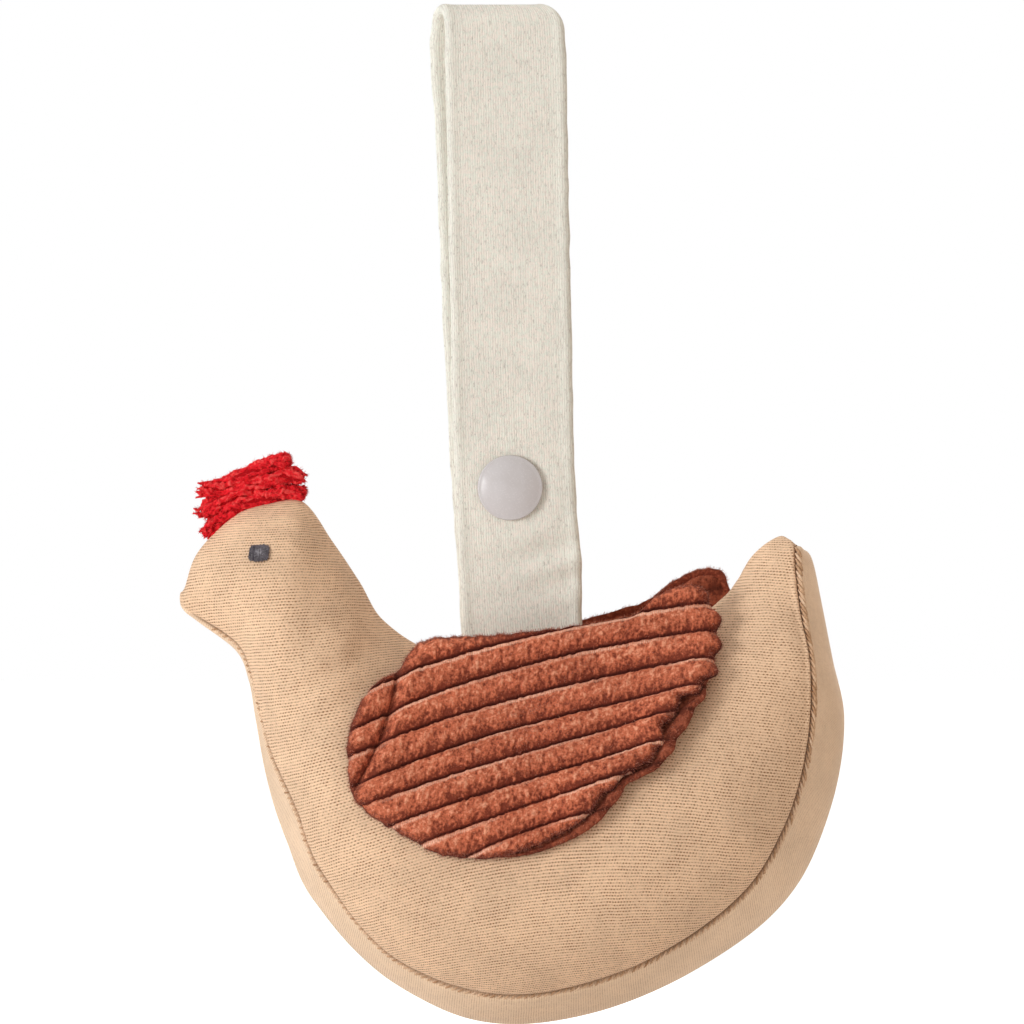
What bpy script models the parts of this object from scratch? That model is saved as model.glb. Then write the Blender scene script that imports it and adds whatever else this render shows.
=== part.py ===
"""Chicken rattle: a stuffed knitted hen that hangs from a strap closed by a snap.

Metres, +Z up. The hen's head points to -X and its left side faces -Y.
The origin is the inner top of the strap's fold, where a bar or handle carries the toy.
Everything on the hen is worked out in its own frame, whose origin is the strap's base.
"""
import math

import bmesh
import bpy
from mathutils import Matrix, Vector

MM = 0.001
GAP = 0.3 * MM

# Strap
STRAP_WIDTH = 23.0 * MM
STRAP_THICKNESS = 1.8 * MM
STRAP_EDGE_ROUND = 0.7 * MM
STRAP_DROP = 121.8 * MM
FOLD_INNER_RADIUS = 4.0 * MM
FOLD_SKEW = 2.4 * MM
STRAP_LEAN = 3.6 * MM
STRAP_DRIFT = 0.62
SNAP_DROP = 90.0 * MM
SNAP_OFFSET = -0.9 * MM
LOOSE_END_LENGTH = 16.0 * MM
LOOSE_END_TUCK = 1.4 * MM
SEWN_END_DEPTH = 9.0 * MM
LEG_SECTIONS = 13
FOLD_SECTIONS = 8

# Snap
SNAP_CAP_RADIUS = 6.2 * MM
SNAP_CAP_RIM = 0.7 * MM
SNAP_CAP_DOME = 1.0 * MM
SNAP_POST_RADIUS = 1.2 * MM
SNAP_BODY_RADIUS = 4.8 * MM
SNAP_SOCKET_HEIGHT = 2.2 * MM
SNAP_SOCKET_FLOOR = 0.6 * MM
SNAP_STUD_FLANGE = 0.8 * MM
SNAP_STUD_RADIUS = 2.6 * MM
SNAP_STUD_HEIGHT = 1.5 * MM
SNAP_STEPS = 20

# Hen: one row for each station from beak to tail tip, in millimetres.
# Ridge x and z, keel x and z, half width, and how far down the side the gusset seam lies.
STATIONS = (
    (-65.3, 11.2, -65.2, 9.0, 0.9, 0.60),
    (-61.6, 19.6, -61.6, 5.5, 4.6, 0.92),
    (-54.7, 26.6, -54.7, 0.2, 9.6, 0.94),
    (-48.3, 28.9, -52.1, -4.8, 12.4, 0.95),
    (-42.0, 29.3, -50.7, -12.4, 14.4, 0.94),
    (-36.5, 21.9, -48.5, -23.8, 17.0, 0.91),
    (-31.4, 14.3, -44.8, -35.2, 20.5, 0.88),
    (-26.6, 6.7, -39.5, -46.6, 24.0, 0.90),
    (-16.0, 0.2, -24.9, -61.8, 27.0, 0.93),
    (-0.8, -1.2, -4.6, -69.7, 28.5, 0.92),
    (14.4, 0.2, 19.6, -65.6, 28.0, 0.91),
    (29.6, 5.2, 40.9, -54.2, 24.5, 0.88),
    (37.6, 10.8, 52.1, -42.8, 19.8, 0.81),
    (40.5, 14.3, 58.5, -27.6, 15.4, 0.74),
    (41.8, 16.5, 60.6, -12.4, 12.4, 0.67),
    (43.3, 19.4, 58.7, -1.0, 9.6, 0.62),
    (46.0, 21.9, 56.2, 10.5, 7.0, 0.56),
    (49.0, 22.6, 54.4, 18.6, 4.6, 0.50),
    (51.1, 21.8, 52.5, 20.8, 2.6, 0.50),
)
RIDGE_POWER = 0.75
KEEL_POWER = 0.5
SKIN = 1.0 * MM
RIDGE_STEEPNESS = 1.6
MOST_INSET = 0.35
LEAST_CORE = 0.3
STATION_STEPS = 2
PANEL_STRIPS = 8
GUSSET_STRIPS = 6
HEAD_START = 1.0
HEAD_END = 5.0
TAIL_START = 12.5
TAIL_END = 16.5

# Rattle capsule, a flattened ball made of two flanged halves, and its beads
CAPSULE_RADIUS = 13.5 * MM
CAPSULE_HALF_HEIGHT = 10.0 * MM
CAPSULE_WALL = 1.2 * MM
CAPSULE_FLANGE = 1.6 * MM
CAPSULE_DROP = 36.0 * MM
CAPSULE_BACK = 4.0 * MM
CAPSULE_STEPS = 20
CAPSULE_ARCS = 6
FILLING_SLIT = 12.0 * MM
BEAD_COUNT = 6
BEAD_RADIUS = 2.0 * MM
BEAD_RING_RADIUS = 7.0 * MM

# Comb
COMB_YARN_RADIUS = 1.15 * MM
COMB_ROW_GAP = 0.7 * MM
COMB_LEAN = math.radians(17)
COMB_ROWS = ((1.25, 4.0), (1.3, 4.05), (1.65, 3.65))
COMB_POINTS = 9

# Eyes
EYE_X = -50.2 * MM
EYE_Z = 19.4 * MM
EYE_LENGTH = 3.8 * MM
EYE_HEIGHT = 3.0 * MM
EYE_THICKNESS = 0.8 * MM

# Wings: corners in millimetres along X and Z, on the left wing
STITCH_TOP = (-24.1, -3.2)
STITCH_BOTTOM = (-32.1, -25.7)
WING_FREE_EDGE = (
    (-20.0, 2.1), (-12.0, 3.2), (-2.1, 3.9), (6.3, 5.0), (11.8, 5.9), (20.7, 7.6),
    (25.3, 10.6), (28.7, 12.5), (32.7, 12.8), (35.2, 10.6), (37.2, 3.2), (36.7, -3.2),
    (34.8, -7.8), (29.3, -16.7), (26.2, -21.3), (19.6, -25.1), (14.3, -31.2), (9.3, -34.6),
    (2.9, -37.1), (-4.6, -38.6), (-12.0, -38.0), (-22.0, -34.2), (-30.4, -28.7),
)
WING_FRONT_EDGE = ((-33.5, -20.7), (-33.6, -15.8), (-32.5, -11.8), (-30.4, -7.8), (-27.4, -4.8))
WING_RIGHT_TILT = math.radians(2.9)
WING_RIGHT_REACH = 5.0 * MM
WING_REACH_START = 12.0 * MM
WING_REACH_END = 28.0 * MM
WING_CLEARANCE = 0.5 * MM
WING_TOP_SPREAD = 9.3 * MM
WING_TOP_HEIGHT = 6.0 * MM
WING_TOP_SLOPE = 0.33
WING_BLEND = 3.0 * MM
WING_LINING = 0.7 * MM
WING_BASE = 1.1 * MM
RIB_PITCH = 5.5 * MM
RIB_HEIGHT = 1.5 * MM
RIB_PHASE = -8.75 * MM
RIB_SLOPE = 0.25
RIB_BEND = 2.8
RIB_STEPS = 4
LINING_STEPS = 2
WING_COLUMNS = 13
WING_OVERHANG = 3.0 * MM

# Colours, as red, green and blue from 0 to 255
TAN = (212, 172, 137)
TAN_GUSSET = (203, 170, 138)
RUST = (159, 84, 61)
CREAM = (226, 218, 205)
WHITE = (212, 208, 205)
RED = (206, 36, 45)
SLATE = (84, 80, 90)
FIBRE = (236, 234, 228)

for old in list(bpy.data.objects):
    bpy.data.objects.remove(old)

model = bpy.data.collections.new("chicken_rattle")
cutters = bpy.data.collections.new("cutters")
for collection in (model, cutters):
    bpy.context.scene.collection.children.link(collection)


def linear(channel):
    """A display colour value from 0 to 255 as linear light."""
    value = channel / 255
    return value / 12.92 if value <= 0.04045 else ((value + 0.055) / 1.055) ** 2.4


def make_material(name, colour, roughness):
    material = bpy.data.materials.new(name)
    material.use_nodes = True
    shader = material.node_tree.nodes["Principled BSDF"]
    shader.inputs["Base Color"].default_value = (*map(linear, colour), 1.0)
    shader.inputs["Roughness"].default_value = roughness
    shader.inputs["Metallic"].default_value = 0.0
    material.diffuse_color = (*map(linear, colour), 1.0)
    return material


def add_empty(name, location, parent=None):
    empty = bpy.data.objects.new(name, None)
    empty.location = location
    empty.parent = parent
    empty.empty_display_size = 0.01
    model.objects.link(empty)
    return empty


def add_part(name, mesh, colour, roughness, parent, origin=Vector((0, 0, 0))):
    """Add a part whose mesh is written in its parent's frame, or about the given origin."""
    mesh.name = name
    mesh.transform(Matrix.Translation(-origin))
    part = bpy.data.objects.new(name, mesh)
    part.parent = parent
    mesh.materials.append(make_material(name, colour, roughness))
    model.objects.link(part)
    return part


def add_cutter(name, mesh, parent):
    cutter = bpy.data.objects.new(name, mesh)
    cutter.parent = parent
    cutter.hide_render = True
    cutter.display_type = "WIRE"
    cutters.objects.link(cutter)
    return cutter


def add_boolean(part, cutter, operation):
    boolean = part.modifiers.new(cutter.name, "BOOLEAN")
    boolean.operation = operation
    boolean.solver = "EXACT"
    boolean.object = cutter


def mesh_from_faces(points, faces):
    mesh = bpy.data.meshes.new("mesh")
    mesh.from_pydata(points, [], faces)
    body = bmesh.new()
    body.from_mesh(mesh)
    bmesh.ops.remove_doubles(body, verts=body.verts, dist=MM / 1000)
    bmesh.ops.dissolve_degenerate(body, edges=body.edges, dist=MM / 1000)
    bmesh.ops.recalc_face_normals(body, faces=body.faces)
    body.to_mesh(mesh)
    body.free()
    return mesh


def shell_mesh(outer, inner):
    """Solid between two grids of points of the same size, closed round their border."""
    rows = len(outer)
    columns = len(outer[0])
    points = [point for grid in (outer, inner) for row in grid for point in row]
    faces = []
    for layer in (0, 1):
        for i in range(rows - 1):
            for j in range(columns - 1):
                corner = (layer * rows + i) * columns + j
                faces.append((corner, corner + columns, corner + columns + 1))
                faces.append((corner, corner + columns + 1, corner + 1))
    border = [(0, j) for j in range(columns - 1)]
    border += [(i, columns - 1) for i in range(rows - 1)]
    border += [(rows - 1, j) for j in range(columns - 1, 0, -1)]
    border += [(i, 0) for i in range(rows - 1, 0, -1)]
    for (i, j), (m, n) in zip(border, border[1:] + border[:1]):
        first = i * columns + j
        second = m * columns + n
        faces.append((first, second, second + rows * columns, first + rows * columns))
    return mesh_from_faces(points, faces)


def loft_mesh(rings):
    """Solid through closed rings of points, with a flat cap on each end."""
    count = len(rings[0])
    points = [point for ring in rings for point in ring]
    faces = [tuple(range(count)), tuple(range(len(points) - count, len(points)))]
    for i in range(len(rings) - 1):
        for j in range(count):
            near = i * count + j
            side = i * count + (j + 1) % count
            faces.append((near, near + count, side + count))
            faces.append((near, side + count, side))
    return mesh_from_faces(points, faces)


def box_mesh(low, high):
    body = bmesh.new()
    size = Vector(high) - Vector(low)
    bmesh.ops.create_cube(body, size=1.0, matrix=Matrix.Diagonal((*size, 1.0)))
    bmesh.ops.translate(body, verts=body.verts, vec=(Vector(low) + Vector(high)) / 2)
    mesh = bpy.data.meshes.new("box")
    body.to_mesh(mesh)
    body.free()
    return mesh


def turned_mesh(profile, closed):
    """A profile of radii and heights, to be turned about Z by a Screw modifier."""
    mesh = bpy.data.meshes.new("profile")
    last = len(profile) if closed else len(profile) - 1
    edges = [(i, (i + 1) % len(profile)) for i in range(last)]
    mesh.from_pydata([(radius, 0.0, height) for radius, height in profile], edges, [])
    return mesh


def add_turning(part, steps):
    screw = part.modifiers.new("turned", "SCREW")
    screw.angle = math.tau
    screw.steps = steps
    screw.render_steps = steps
    screw.use_merge_vertices = True
    screw.merge_threshold = MM / 100
    screw.use_smooth_shade = True


def smooth_step(value):
    value = min(max(value, 0.0), 1.0)
    return value * value * (3 - 2 * value)


def spline_value(before, start, end, after, t):
    """Catmull-Rom curve between start and end."""
    return 0.5 * (
        2 * start
        + (end - before) * t
        + (2 * before - 5 * start + 4 * end - after) * t ** 2
        + (3 * start - before - 3 * end + after) * t ** 3
    )


# Strap path

SNAP_LAYERS = SNAP_SOCKET_HEIGHT + SNAP_STUD_FLANGE + 3 * GAP
FOLD_RADIUS = FOLD_INNER_RADIUS + STRAP_THICKNESS / 2
SNAP_SPREAD = SNAP_LAYERS + STRAP_THICKNESS
FLAT_FROM_DROP = SNAP_DROP - SNAP_CAP_RADIUS
LOOSE_END_DROP = SNAP_DROP + LOOSE_END_LENGTH


def front_leg(drop):
    """Middle of the long leg at a depth below the fold; it leans most near its base."""
    run = (drop - FOLD_INNER_RADIUS) / (FLAT_FROM_DROP - FOLD_INNER_RADIUS)
    share = max(drop, 0.0) / STRAP_DROP
    x = STRAP_LEAN * (STRAP_DRIFT * share + (1 - STRAP_DRIFT) * share ** 6)
    return Vector((x, -FOLD_RADIUS * (1 - smooth_step(run)), -drop))


def back_leg(drop):
    """Middle of the loose leg, which ends close behind the long one."""
    run = (drop - FOLD_INNER_RADIUS) / (FLAT_FROM_DROP - FOLD_INNER_RADIUS)
    y = FOLD_RADIUS + (SNAP_SPREAD - FOLD_RADIUS) * smooth_step(run)
    below = (drop - SNAP_DROP - SNAP_BODY_RADIUS) / (LOOSE_END_LENGTH - SNAP_BODY_RADIUS)
    y -= LOOSE_END_TUCK * smooth_step(below)
    skew = FOLD_SKEW * max(1 - (drop / LOOSE_END_DROP) ** 1.5, 0.0)
    return Vector((front_leg(drop).x - skew, y, -drop))


def strap_ring(centre, normal, half_thickness):
    """Six points round the band, square to its path."""
    half = STRAP_WIDTH / 2
    flat = half - STRAP_EDGE_ROUND
    shape = ((-half, 0), (-flat, 1), (flat, 1), (half, 0), (flat, -1), (-flat, -1))
    return [centre + Vector((x, 0, 0)) + normal * (side * half_thickness) for x, side in shape]


def leg_rings(leg, start, end, count):
    rings = []
    for i in range(count + 1):
        drop = start + (end - start) * i / count
        along = leg(drop + MM / 10) - leg(drop - MM / 10)
        normal = Vector((0, -along.z, along.y)).normalized()
        rings.append(strap_ring(leg(drop), normal, STRAP_THICKNESS / 2))
    return rings


def fold_rings():
    """The arch from the top of the long leg over to the top of the loose one."""
    front = front_leg(FOLD_INNER_RADIUS)
    back = back_leg(FOLD_INNER_RADIUS)
    rings = []
    for i in range(1, FOLD_SECTIONS + 1):
        turn = math.pi * i / FOLD_SECTIONS
        outward = Vector((0, -math.cos(turn), math.sin(turn)))
        x = front.x + (back.x - front.x) * smooth_step(i / FOLD_SECTIONS)
        centre = Vector((x, 0, -FOLD_INNER_RADIUS)) + outward * FOLD_RADIUS
        rings.append(strap_ring(centre, -outward, STRAP_THICKNESS / 2))
    return rings


def base_rings():
    """Half-round lower end of the band, centred on the hinge at its base."""
    rings = []
    radius = STRAP_THICKNESS / 2
    for turn in (math.radians(75), math.radians(45), math.radians(20)):
        centre = front_leg(STRAP_DROP) - Vector((0, 0, radius * math.sin(turn)))
        rings.append(strap_ring(centre, Vector((0, 1, 0)), radius * math.cos(turn)))
    return rings


def build_strap():
    hen_hinge = front_leg(STRAP_DROP)
    rings = base_rings()
    rings += leg_rings(front_leg, STRAP_DROP, FOLD_INNER_RADIUS, LEG_SECTIONS)
    rings += fold_rings()
    band = add_part("strap_band", loft_mesh(rings), CREAM, 0.9, None)

    hinge_drop = FOLD_INNER_RADIUS + GAP / 2
    end_hinge = Vector((0, FOLD_RADIUS + STRAP_THICKNESS / 2, -hinge_drop))
    pivot = add_empty("loose_end_hinge", end_hinge)
    rings = leg_rings(back_leg, FOLD_INNER_RADIUS + GAP, LOOSE_END_DROP, LEG_SECTIONS)
    loose = add_part("strap_end", loft_mesh(rings), CREAM, 0.9, pivot, end_hinge)
    return band, loose, pivot, end_hinge, hen_hinge


# Snap

def cap_profile(post_length):
    """A shallow dome whose post goes through the fabric, from the post's tip at Z 0 up."""
    rim = post_length + GAP
    return (
        (0.0, rim + SNAP_CAP_RIM + SNAP_CAP_DOME),
        (SNAP_CAP_RADIUS * 0.55, rim + SNAP_CAP_RIM + SNAP_CAP_DOME * 0.78),
        (SNAP_CAP_RADIUS * 0.88, rim + SNAP_CAP_RIM + SNAP_CAP_DOME * 0.3),
        (SNAP_CAP_RADIUS, rim + SNAP_CAP_RIM * 0.6),
        (SNAP_CAP_RADIUS * 0.97, rim),
        (SNAP_POST_RADIUS, rim),
        (SNAP_POST_RADIUS, 0.0),
        (0.0, 0.0),
    )


def socket_profile():
    """A ring with a floor at Z 0 that the post's tip meets and a recess for the stud."""
    bore = SNAP_POST_RADIUS + GAP
    recess = SNAP_STUD_RADIUS + GAP
    top = SNAP_SOCKET_HEIGHT
    return (
        (recess, top),
        (SNAP_BODY_RADIUS - 0.5 * MM, top),
        (SNAP_BODY_RADIUS, top - 0.5 * MM),
        (SNAP_BODY_RADIUS, 0.0),
        (bore, 0.0),
        (bore, SNAP_SOCKET_FLOOR),
        (recess, SNAP_SOCKET_FLOOR),
    )


def stud_profile():
    """A flange with a waisted knob that snaps into the socket, bored for its cap's post."""
    bore = SNAP_POST_RADIUS + GAP
    top = SNAP_STUD_FLANGE + SNAP_STUD_HEIGHT
    return (
        (bore, top),
        (SNAP_STUD_RADIUS - 0.4 * MM, top),
        (SNAP_STUD_RADIUS, top - 0.4 * MM),
        (SNAP_STUD_RADIUS - 0.3 * MM, SNAP_STUD_FLANGE),
        (SNAP_BODY_RADIUS, SNAP_STUD_FLANGE),
        (SNAP_BODY_RADIUS, 0.0),
        (bore, 0.0),
    )


def add_snap_piece(name, profile, closed, place, face, parent):
    """Turn a profile and lay its axis along Y, with its Z towards the given side."""
    piece = add_part(name, turned_mesh(profile, closed), WHITE, 0.35, parent)
    piece.location = place
    piece.rotation_euler = (math.pi / 2 * -face, 0, 0)
    add_turning(piece, SNAP_STEPS)
    return piece


def build_snap(band, loose, end_pivot, end_hinge):
    front = front_leg(SNAP_DROP)
    back = back_leg(SNAP_DROP)
    half = STRAP_THICKNESS / 2
    post = STRAP_THICKNESS + 2 * GAP + SNAP_SOCKET_FLOOR
    stud_post = STRAP_THICKNESS + 2 * GAP + SNAP_STUD_FLANGE
    socket_y = front.y + half + GAP
    stud_y = back.y - half - GAP
    at = Vector((front.x + SNAP_OFFSET, 0, front.z))
    add_snap_piece("snap_cap_front", cap_profile(post - GAP), False,
                   at + Vector((0, socket_y + SNAP_SOCKET_FLOOR, 0)), -1, None)
    add_snap_piece("snap_socket", socket_profile(), True, at + Vector((0, socket_y, 0)), 1, None)
    add_snap_piece("snap_stud", stud_profile(), True,
                   at + Vector((0, stud_y, 0)) - end_hinge, -1, end_pivot)
    add_snap_piece("snap_cap_back", cap_profile(stud_post - GAP), False,
                   at + Vector((0, stud_y - SNAP_STUD_FLANGE, 0)) - end_hinge, 1, end_pivot)
    for part, parent, origin in ((band, None, Vector((0, 0, 0))), (loose, end_pivot, end_hinge)):
        body = bmesh.new()
        bmesh.ops.create_cone(body, cap_ends=True, segments=SNAP_STEPS,
                              radius1=SNAP_POST_RADIUS + GAP, radius2=SNAP_POST_RADIUS + GAP,
                              depth=4 * SNAP_SPREAD, matrix=Matrix.Rotation(math.pi / 2, 4, "X"))
        bmesh.ops.translate(body, verts=body.verts, vec=at - origin)
        mesh = bpy.data.meshes.new("post_hole")
        body.to_mesh(mesh)
        body.free()
        add_boolean(part, add_cutter("post_hole_" + part.name, mesh, parent), "DIFFERENCE")


# Hen body

WIDEST = RIDGE_POWER / (RIDGE_POWER + KEEL_POWER)
LAST_STATION = len(STATIONS) - 1


def station(position):
    """Ridge point, keel point, half width and seam share at a position counted in stations."""
    index = min(int(position), LAST_STATION - 1)
    around = [STATIONS[min(max(index + step, 0), LAST_STATION)] for step in (-1, 0, 1, 2)]
    row = [spline_value(*values, position - index) for values in zip(*around)]
    ridge = Vector((row[0], 0, row[1])) * MM
    keel = Vector((row[2], 0, row[3])) * MM
    return ridge, keel, row[4] * MM, row[5]


def hen_point(position, share, inset, side):
    """Point on the hen, a share of the way from ridge to keel, or on a skin set in from it."""
    ridge, keel, half_width, _ = station(position)
    height = (keel - ridge).length
    top = min(RIDGE_STEEPNESS * inset / height, MOST_INSET)
    bottom = min(inset / height, MOST_INSET)
    half = max(half_width - inset, LEAST_CORE * half_width)
    centre = ridge + (keel - ridge) * (top + share * (1 - top - bottom))
    bulge = (share / WIDEST) ** RIDGE_POWER * ((1 - share) / (1 - WIDEST)) ** KEEL_POWER
    return Vector((centre.x, side * half * bulge, centre.z))


def body_half_width(x, z):
    """Half width of the hen at a point of its side view, or 0 outside it."""
    target = Vector((x, 0, z))
    low = 0.0
    high = float(LAST_STATION)
    for _ in range(24):
        middle = (low + high) / 2
        ridge, keel, _, _ = station(middle)
        if (keel - ridge).cross(target - ridge).y < 0:
            low = middle
        else:
            high = middle
    ridge, keel, half_width, _ = station(low)
    down = keel - ridge
    share = (target - ridge).dot(down) / down.length_squared
    if not 0 < share < 1:
        return 0.0
    return hen_point(low, share, 0.0, 1).y


def section_positions(start, end):
    count = round((end - start) * STATION_STEPS)
    return [start + (end - start) * i / count for i in range(count + 1)]


def seam_share(position):
    return min(max(station(position)[3], 0.3), 0.97)


def gusset_share(position):
    """Where the gusset starts, one gap below the side panel's edge."""
    seam = seam_share(position)
    step = 0.005
    near = hen_point(position, seam, 0.0, 1)
    rate = (hen_point(position, seam + step, 0.0, 1) - near).length / step
    return min(seam + GAP / rate, seam + 0.4 * (1 - seam))


def panel_shares(position):
    seam = seam_share(position)
    return [seam * (j / PANEL_STRIPS) ** 1.5 for j in range(PANEL_STRIPS + 1)]


def gusset_shares(position):
    """From the seam to the keel, closer together near the keel's round."""
    start = gusset_share(position)
    half = GUSSET_STRIPS // 2
    return [1 - (1 - start) * (1 - j / half) ** 2 for j in range(half + 1)]


def panel_grid(inset, side):
    """Rows run the way that the filling's rings do, so both are cut into like triangles."""
    grid = []
    for position in section_positions(0, LAST_STATION):
        row = [hen_point(position, share, inset, 1) for share in panel_shares(position)]
        row = [Vector((p.x, side * max(p.y, GAP / 2), p.z)) for p in row]
        grid.append(row[::-side])
    return grid


def gusset_grid(inset):
    grid = []
    for position in section_positions(0, LAST_STATION):
        shares = gusset_shares(position)
        row = [hen_point(position, share, inset, -1) for share in shares]
        row += [hen_point(position, share, inset, 1) for share in reversed(shares[:-1])]
        grid.append(row)
    return grid


def stuffing_ring(position, shift):
    """Closed section of the filling, moved along the section's own normal."""
    ridge, keel, _, _ = station(position)
    normal = (keel - ridge).cross(Vector((0, 1, 0))).normalized()
    inset = SKIN + GAP
    shares = panel_shares(position) + gusset_shares(position)[:-1]
    ring = [hen_point(position, share, inset, -1) for share in shares]
    ring += [hen_point(position, 1.0, inset, 1)]
    ring += [hen_point(position, share, inset, 1) for share in reversed(shares[1:])]
    return [point + normal * shift for point in ring]


def add_stuffing(name, start, end, parent):
    positions = section_positions(start, end)
    rings = [stuffing_ring(position, 0.0) for position in positions[1:-1]]
    rings.insert(0, stuffing_ring(start, GAP / 2))
    rings.append(stuffing_ring(end, -GAP / 2))
    return add_part(name, loft_mesh(rings), FIBRE, 1.0, parent)


def build_body(hinge):
    left = add_part("side_panel_left", shell_mesh(panel_grid(0, -1), panel_grid(SKIN, -1)),
                    TAN, 0.95, hinge)
    right = add_part("side_panel_right", shell_mesh(panel_grid(0, 1), panel_grid(SKIN, 1)),
                     TAN, 0.95, hinge)
    add_part("gusset", shell_mesh(gusset_grid(0), gusset_grid(SKIN)), TAN_GUSSET, 0.95, hinge)
    add_stuffing("stuffing_head", HEAD_START, HEAD_END, hinge)
    body = add_stuffing("stuffing_body", HEAD_END, TAIL_START, hinge)
    add_stuffing("stuffing_tail", TAIL_START, TAIL_END, hinge)

    half = STRAP_THICKNESS / 2
    top = -half - GAP
    rings = []
    for drop in (top, top - SEWN_END_DEPTH):
        rings.append(strap_ring(Vector((0, 0, drop)), Vector((0, 1, 0)), half))
    add_part("strap_sewn_end", loft_mesh(rings), CREAM, 0.9, hinge)

    slot = Vector((STRAP_WIDTH / 2 + GAP, half + GAP, 0))
    slot_floor = Vector((0, 0, top - SEWN_END_DEPTH - GAP))
    slot_mesh = box_mesh(slot_floor - slot, slot + Vector((0, 0, SEWN_END_DEPTH)))
    slot_cutter = add_cutter("strap_slot", slot_mesh, hinge)
    for part in (left, right, body):
        add_boolean(part, slot_cutter, "DIFFERENCE")
    return body, slot_floor


# Rattle capsule

def half_shell_profile():
    """Upper half of the capsule: outer arc down to the flange, then the inner arc back up."""
    outer = []
    inner = []
    for i in range(CAPSULE_ARCS + 1):
        turn = math.pi / 2 * i / CAPSULE_ARCS
        outer.append((CAPSULE_RADIUS * math.sin(turn), CAPSULE_HALF_HEIGHT * math.cos(turn)))
        inner.append(((CAPSULE_RADIUS - CAPSULE_WALL) * math.sin(turn),
                      (CAPSULE_HALF_HEIGHT - CAPSULE_WALL) * math.cos(turn)))
    flange = CAPSULE_RADIUS + CAPSULE_FLANGE
    seat = GAP / 2
    profile = outer[:-1]
    profile += [(CAPSULE_RADIUS, seat + CAPSULE_WALL), (flange, seat + CAPSULE_WALL), (flange, seat)]
    profile += [(inner[-1][0], seat)] + inner[-2::-1]
    return profile


def pocket_profile():
    """Hollow in the filling that holds the capsule with its flange."""
    radius = CAPSULE_RADIUS + CAPSULE_FLANGE + 2 * GAP
    height = CAPSULE_HALF_HEIGHT + GAP
    turns = [math.pi * i / (2 * CAPSULE_ARCS) for i in range(2 * CAPSULE_ARCS + 1)]
    profile = [(radius * math.sin(turn), height * math.cos(turn)) for turn in turns]
    profile[0] = (0.0, height)
    profile[-1] = (0.0, -height)
    return profile


def bead_travel():
    """Height of the free way up and down at the beads' ring."""
    radius = CAPSULE_RADIUS - CAPSULE_WALL - BEAD_RADIUS - GAP
    height = CAPSULE_HALF_HEIGHT - CAPSULE_WALL - BEAD_RADIUS - GAP
    return height * math.sqrt(1 - (BEAD_RING_RADIUS / radius) ** 2)


def build_rattle(body, slot_floor, hinge):
    centre = Vector((CAPSULE_BACK, 0, -CAPSULE_DROP))
    for name, flip in (("rattle_shell_upper", 0.0), ("rattle_shell_lower", math.pi)):
        shell = add_part(name, turned_mesh(half_shell_profile(), False), WHITE, 0.4, hinge)
        shell.location = centre
        shell.rotation_euler = (flip, 0, 0)
        add_turning(shell, CAPSULE_STEPS)

    pocket = add_cutter("capsule_pocket", turned_mesh(pocket_profile(), False), hinge)
    pocket.location = centre
    add_turning(pocket, CAPSULE_STEPS)
    add_boolean(body, pocket, "DIFFERENCE")
    half = STRAP_THICKNESS / 2 + GAP
    slit = box_mesh((centre.x - FILLING_SLIT / 2, -half, centre.z),
                    (centre.x + FILLING_SLIT / 2, half, slot_floor.z + GAP))
    add_boolean(body, add_cutter("filling_slit", slit, hinge), "DIFFERENCE")

    for i in range(BEAD_COUNT):
        turn = math.tau * i / BEAD_COUNT
        ball = bmesh.new()
        bmesh.ops.create_icosphere(ball, subdivisions=2, radius=BEAD_RADIUS)
        mesh = bpy.data.meshes.new("bead")
        ball.to_mesh(mesh)
        ball.free()
        bead = add_part("rattle_bead_%d" % (i + 1), mesh, RED, 0.4, hinge)
        ring = Vector((math.cos(turn), math.sin(turn), 0)) * BEAD_RING_RADIUS
        bead.location = centre + ring - Vector((0, 0, bead_travel()))


# Comb and eyes

def build_comb(hinge):
    """Rows of yarn that follow the crown's ridge, each stacked straight above the last."""
    stack = Vector((-math.sin(COMB_LEAN), 0, math.cos(COMB_LEAN)))
    pitch = 2 * COMB_YARN_RADIUS + COMB_ROW_GAP
    for number, (start, end) in enumerate(COMB_ROWS):
        curve = bpy.data.curves.new("comb", "CURVE")
        curve.dimensions = "3D"
        curve.bevel_depth = COMB_YARN_RADIUS
        curve.bevel_resolution = 2
        curve.use_fill_caps = True
        spline = curve.splines.new("POLY")
        spline.points.add(COMB_POINTS - 1)
        for i, point in enumerate(spline.points):
            position = start + (end - start) * i / (COMB_POINTS - 1)
            along = station(position + 0.05)[0] - station(position - 0.05)[0]
            outward = Vector((-along.z, 0, along.x)).normalized()
            seat = station(position)[0] + outward * (GAP + COMB_YARN_RADIUS)
            point.co = (*(seat + stack * number * pitch), 1.0)
        name = "comb_yarn_%d" % (number + 1)
        yarn = bpy.data.objects.new(name, curve)
        yarn.parent = hinge
        curve.materials.append(make_material(name, RED, 1.0))
        model.objects.link(yarn)


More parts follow.
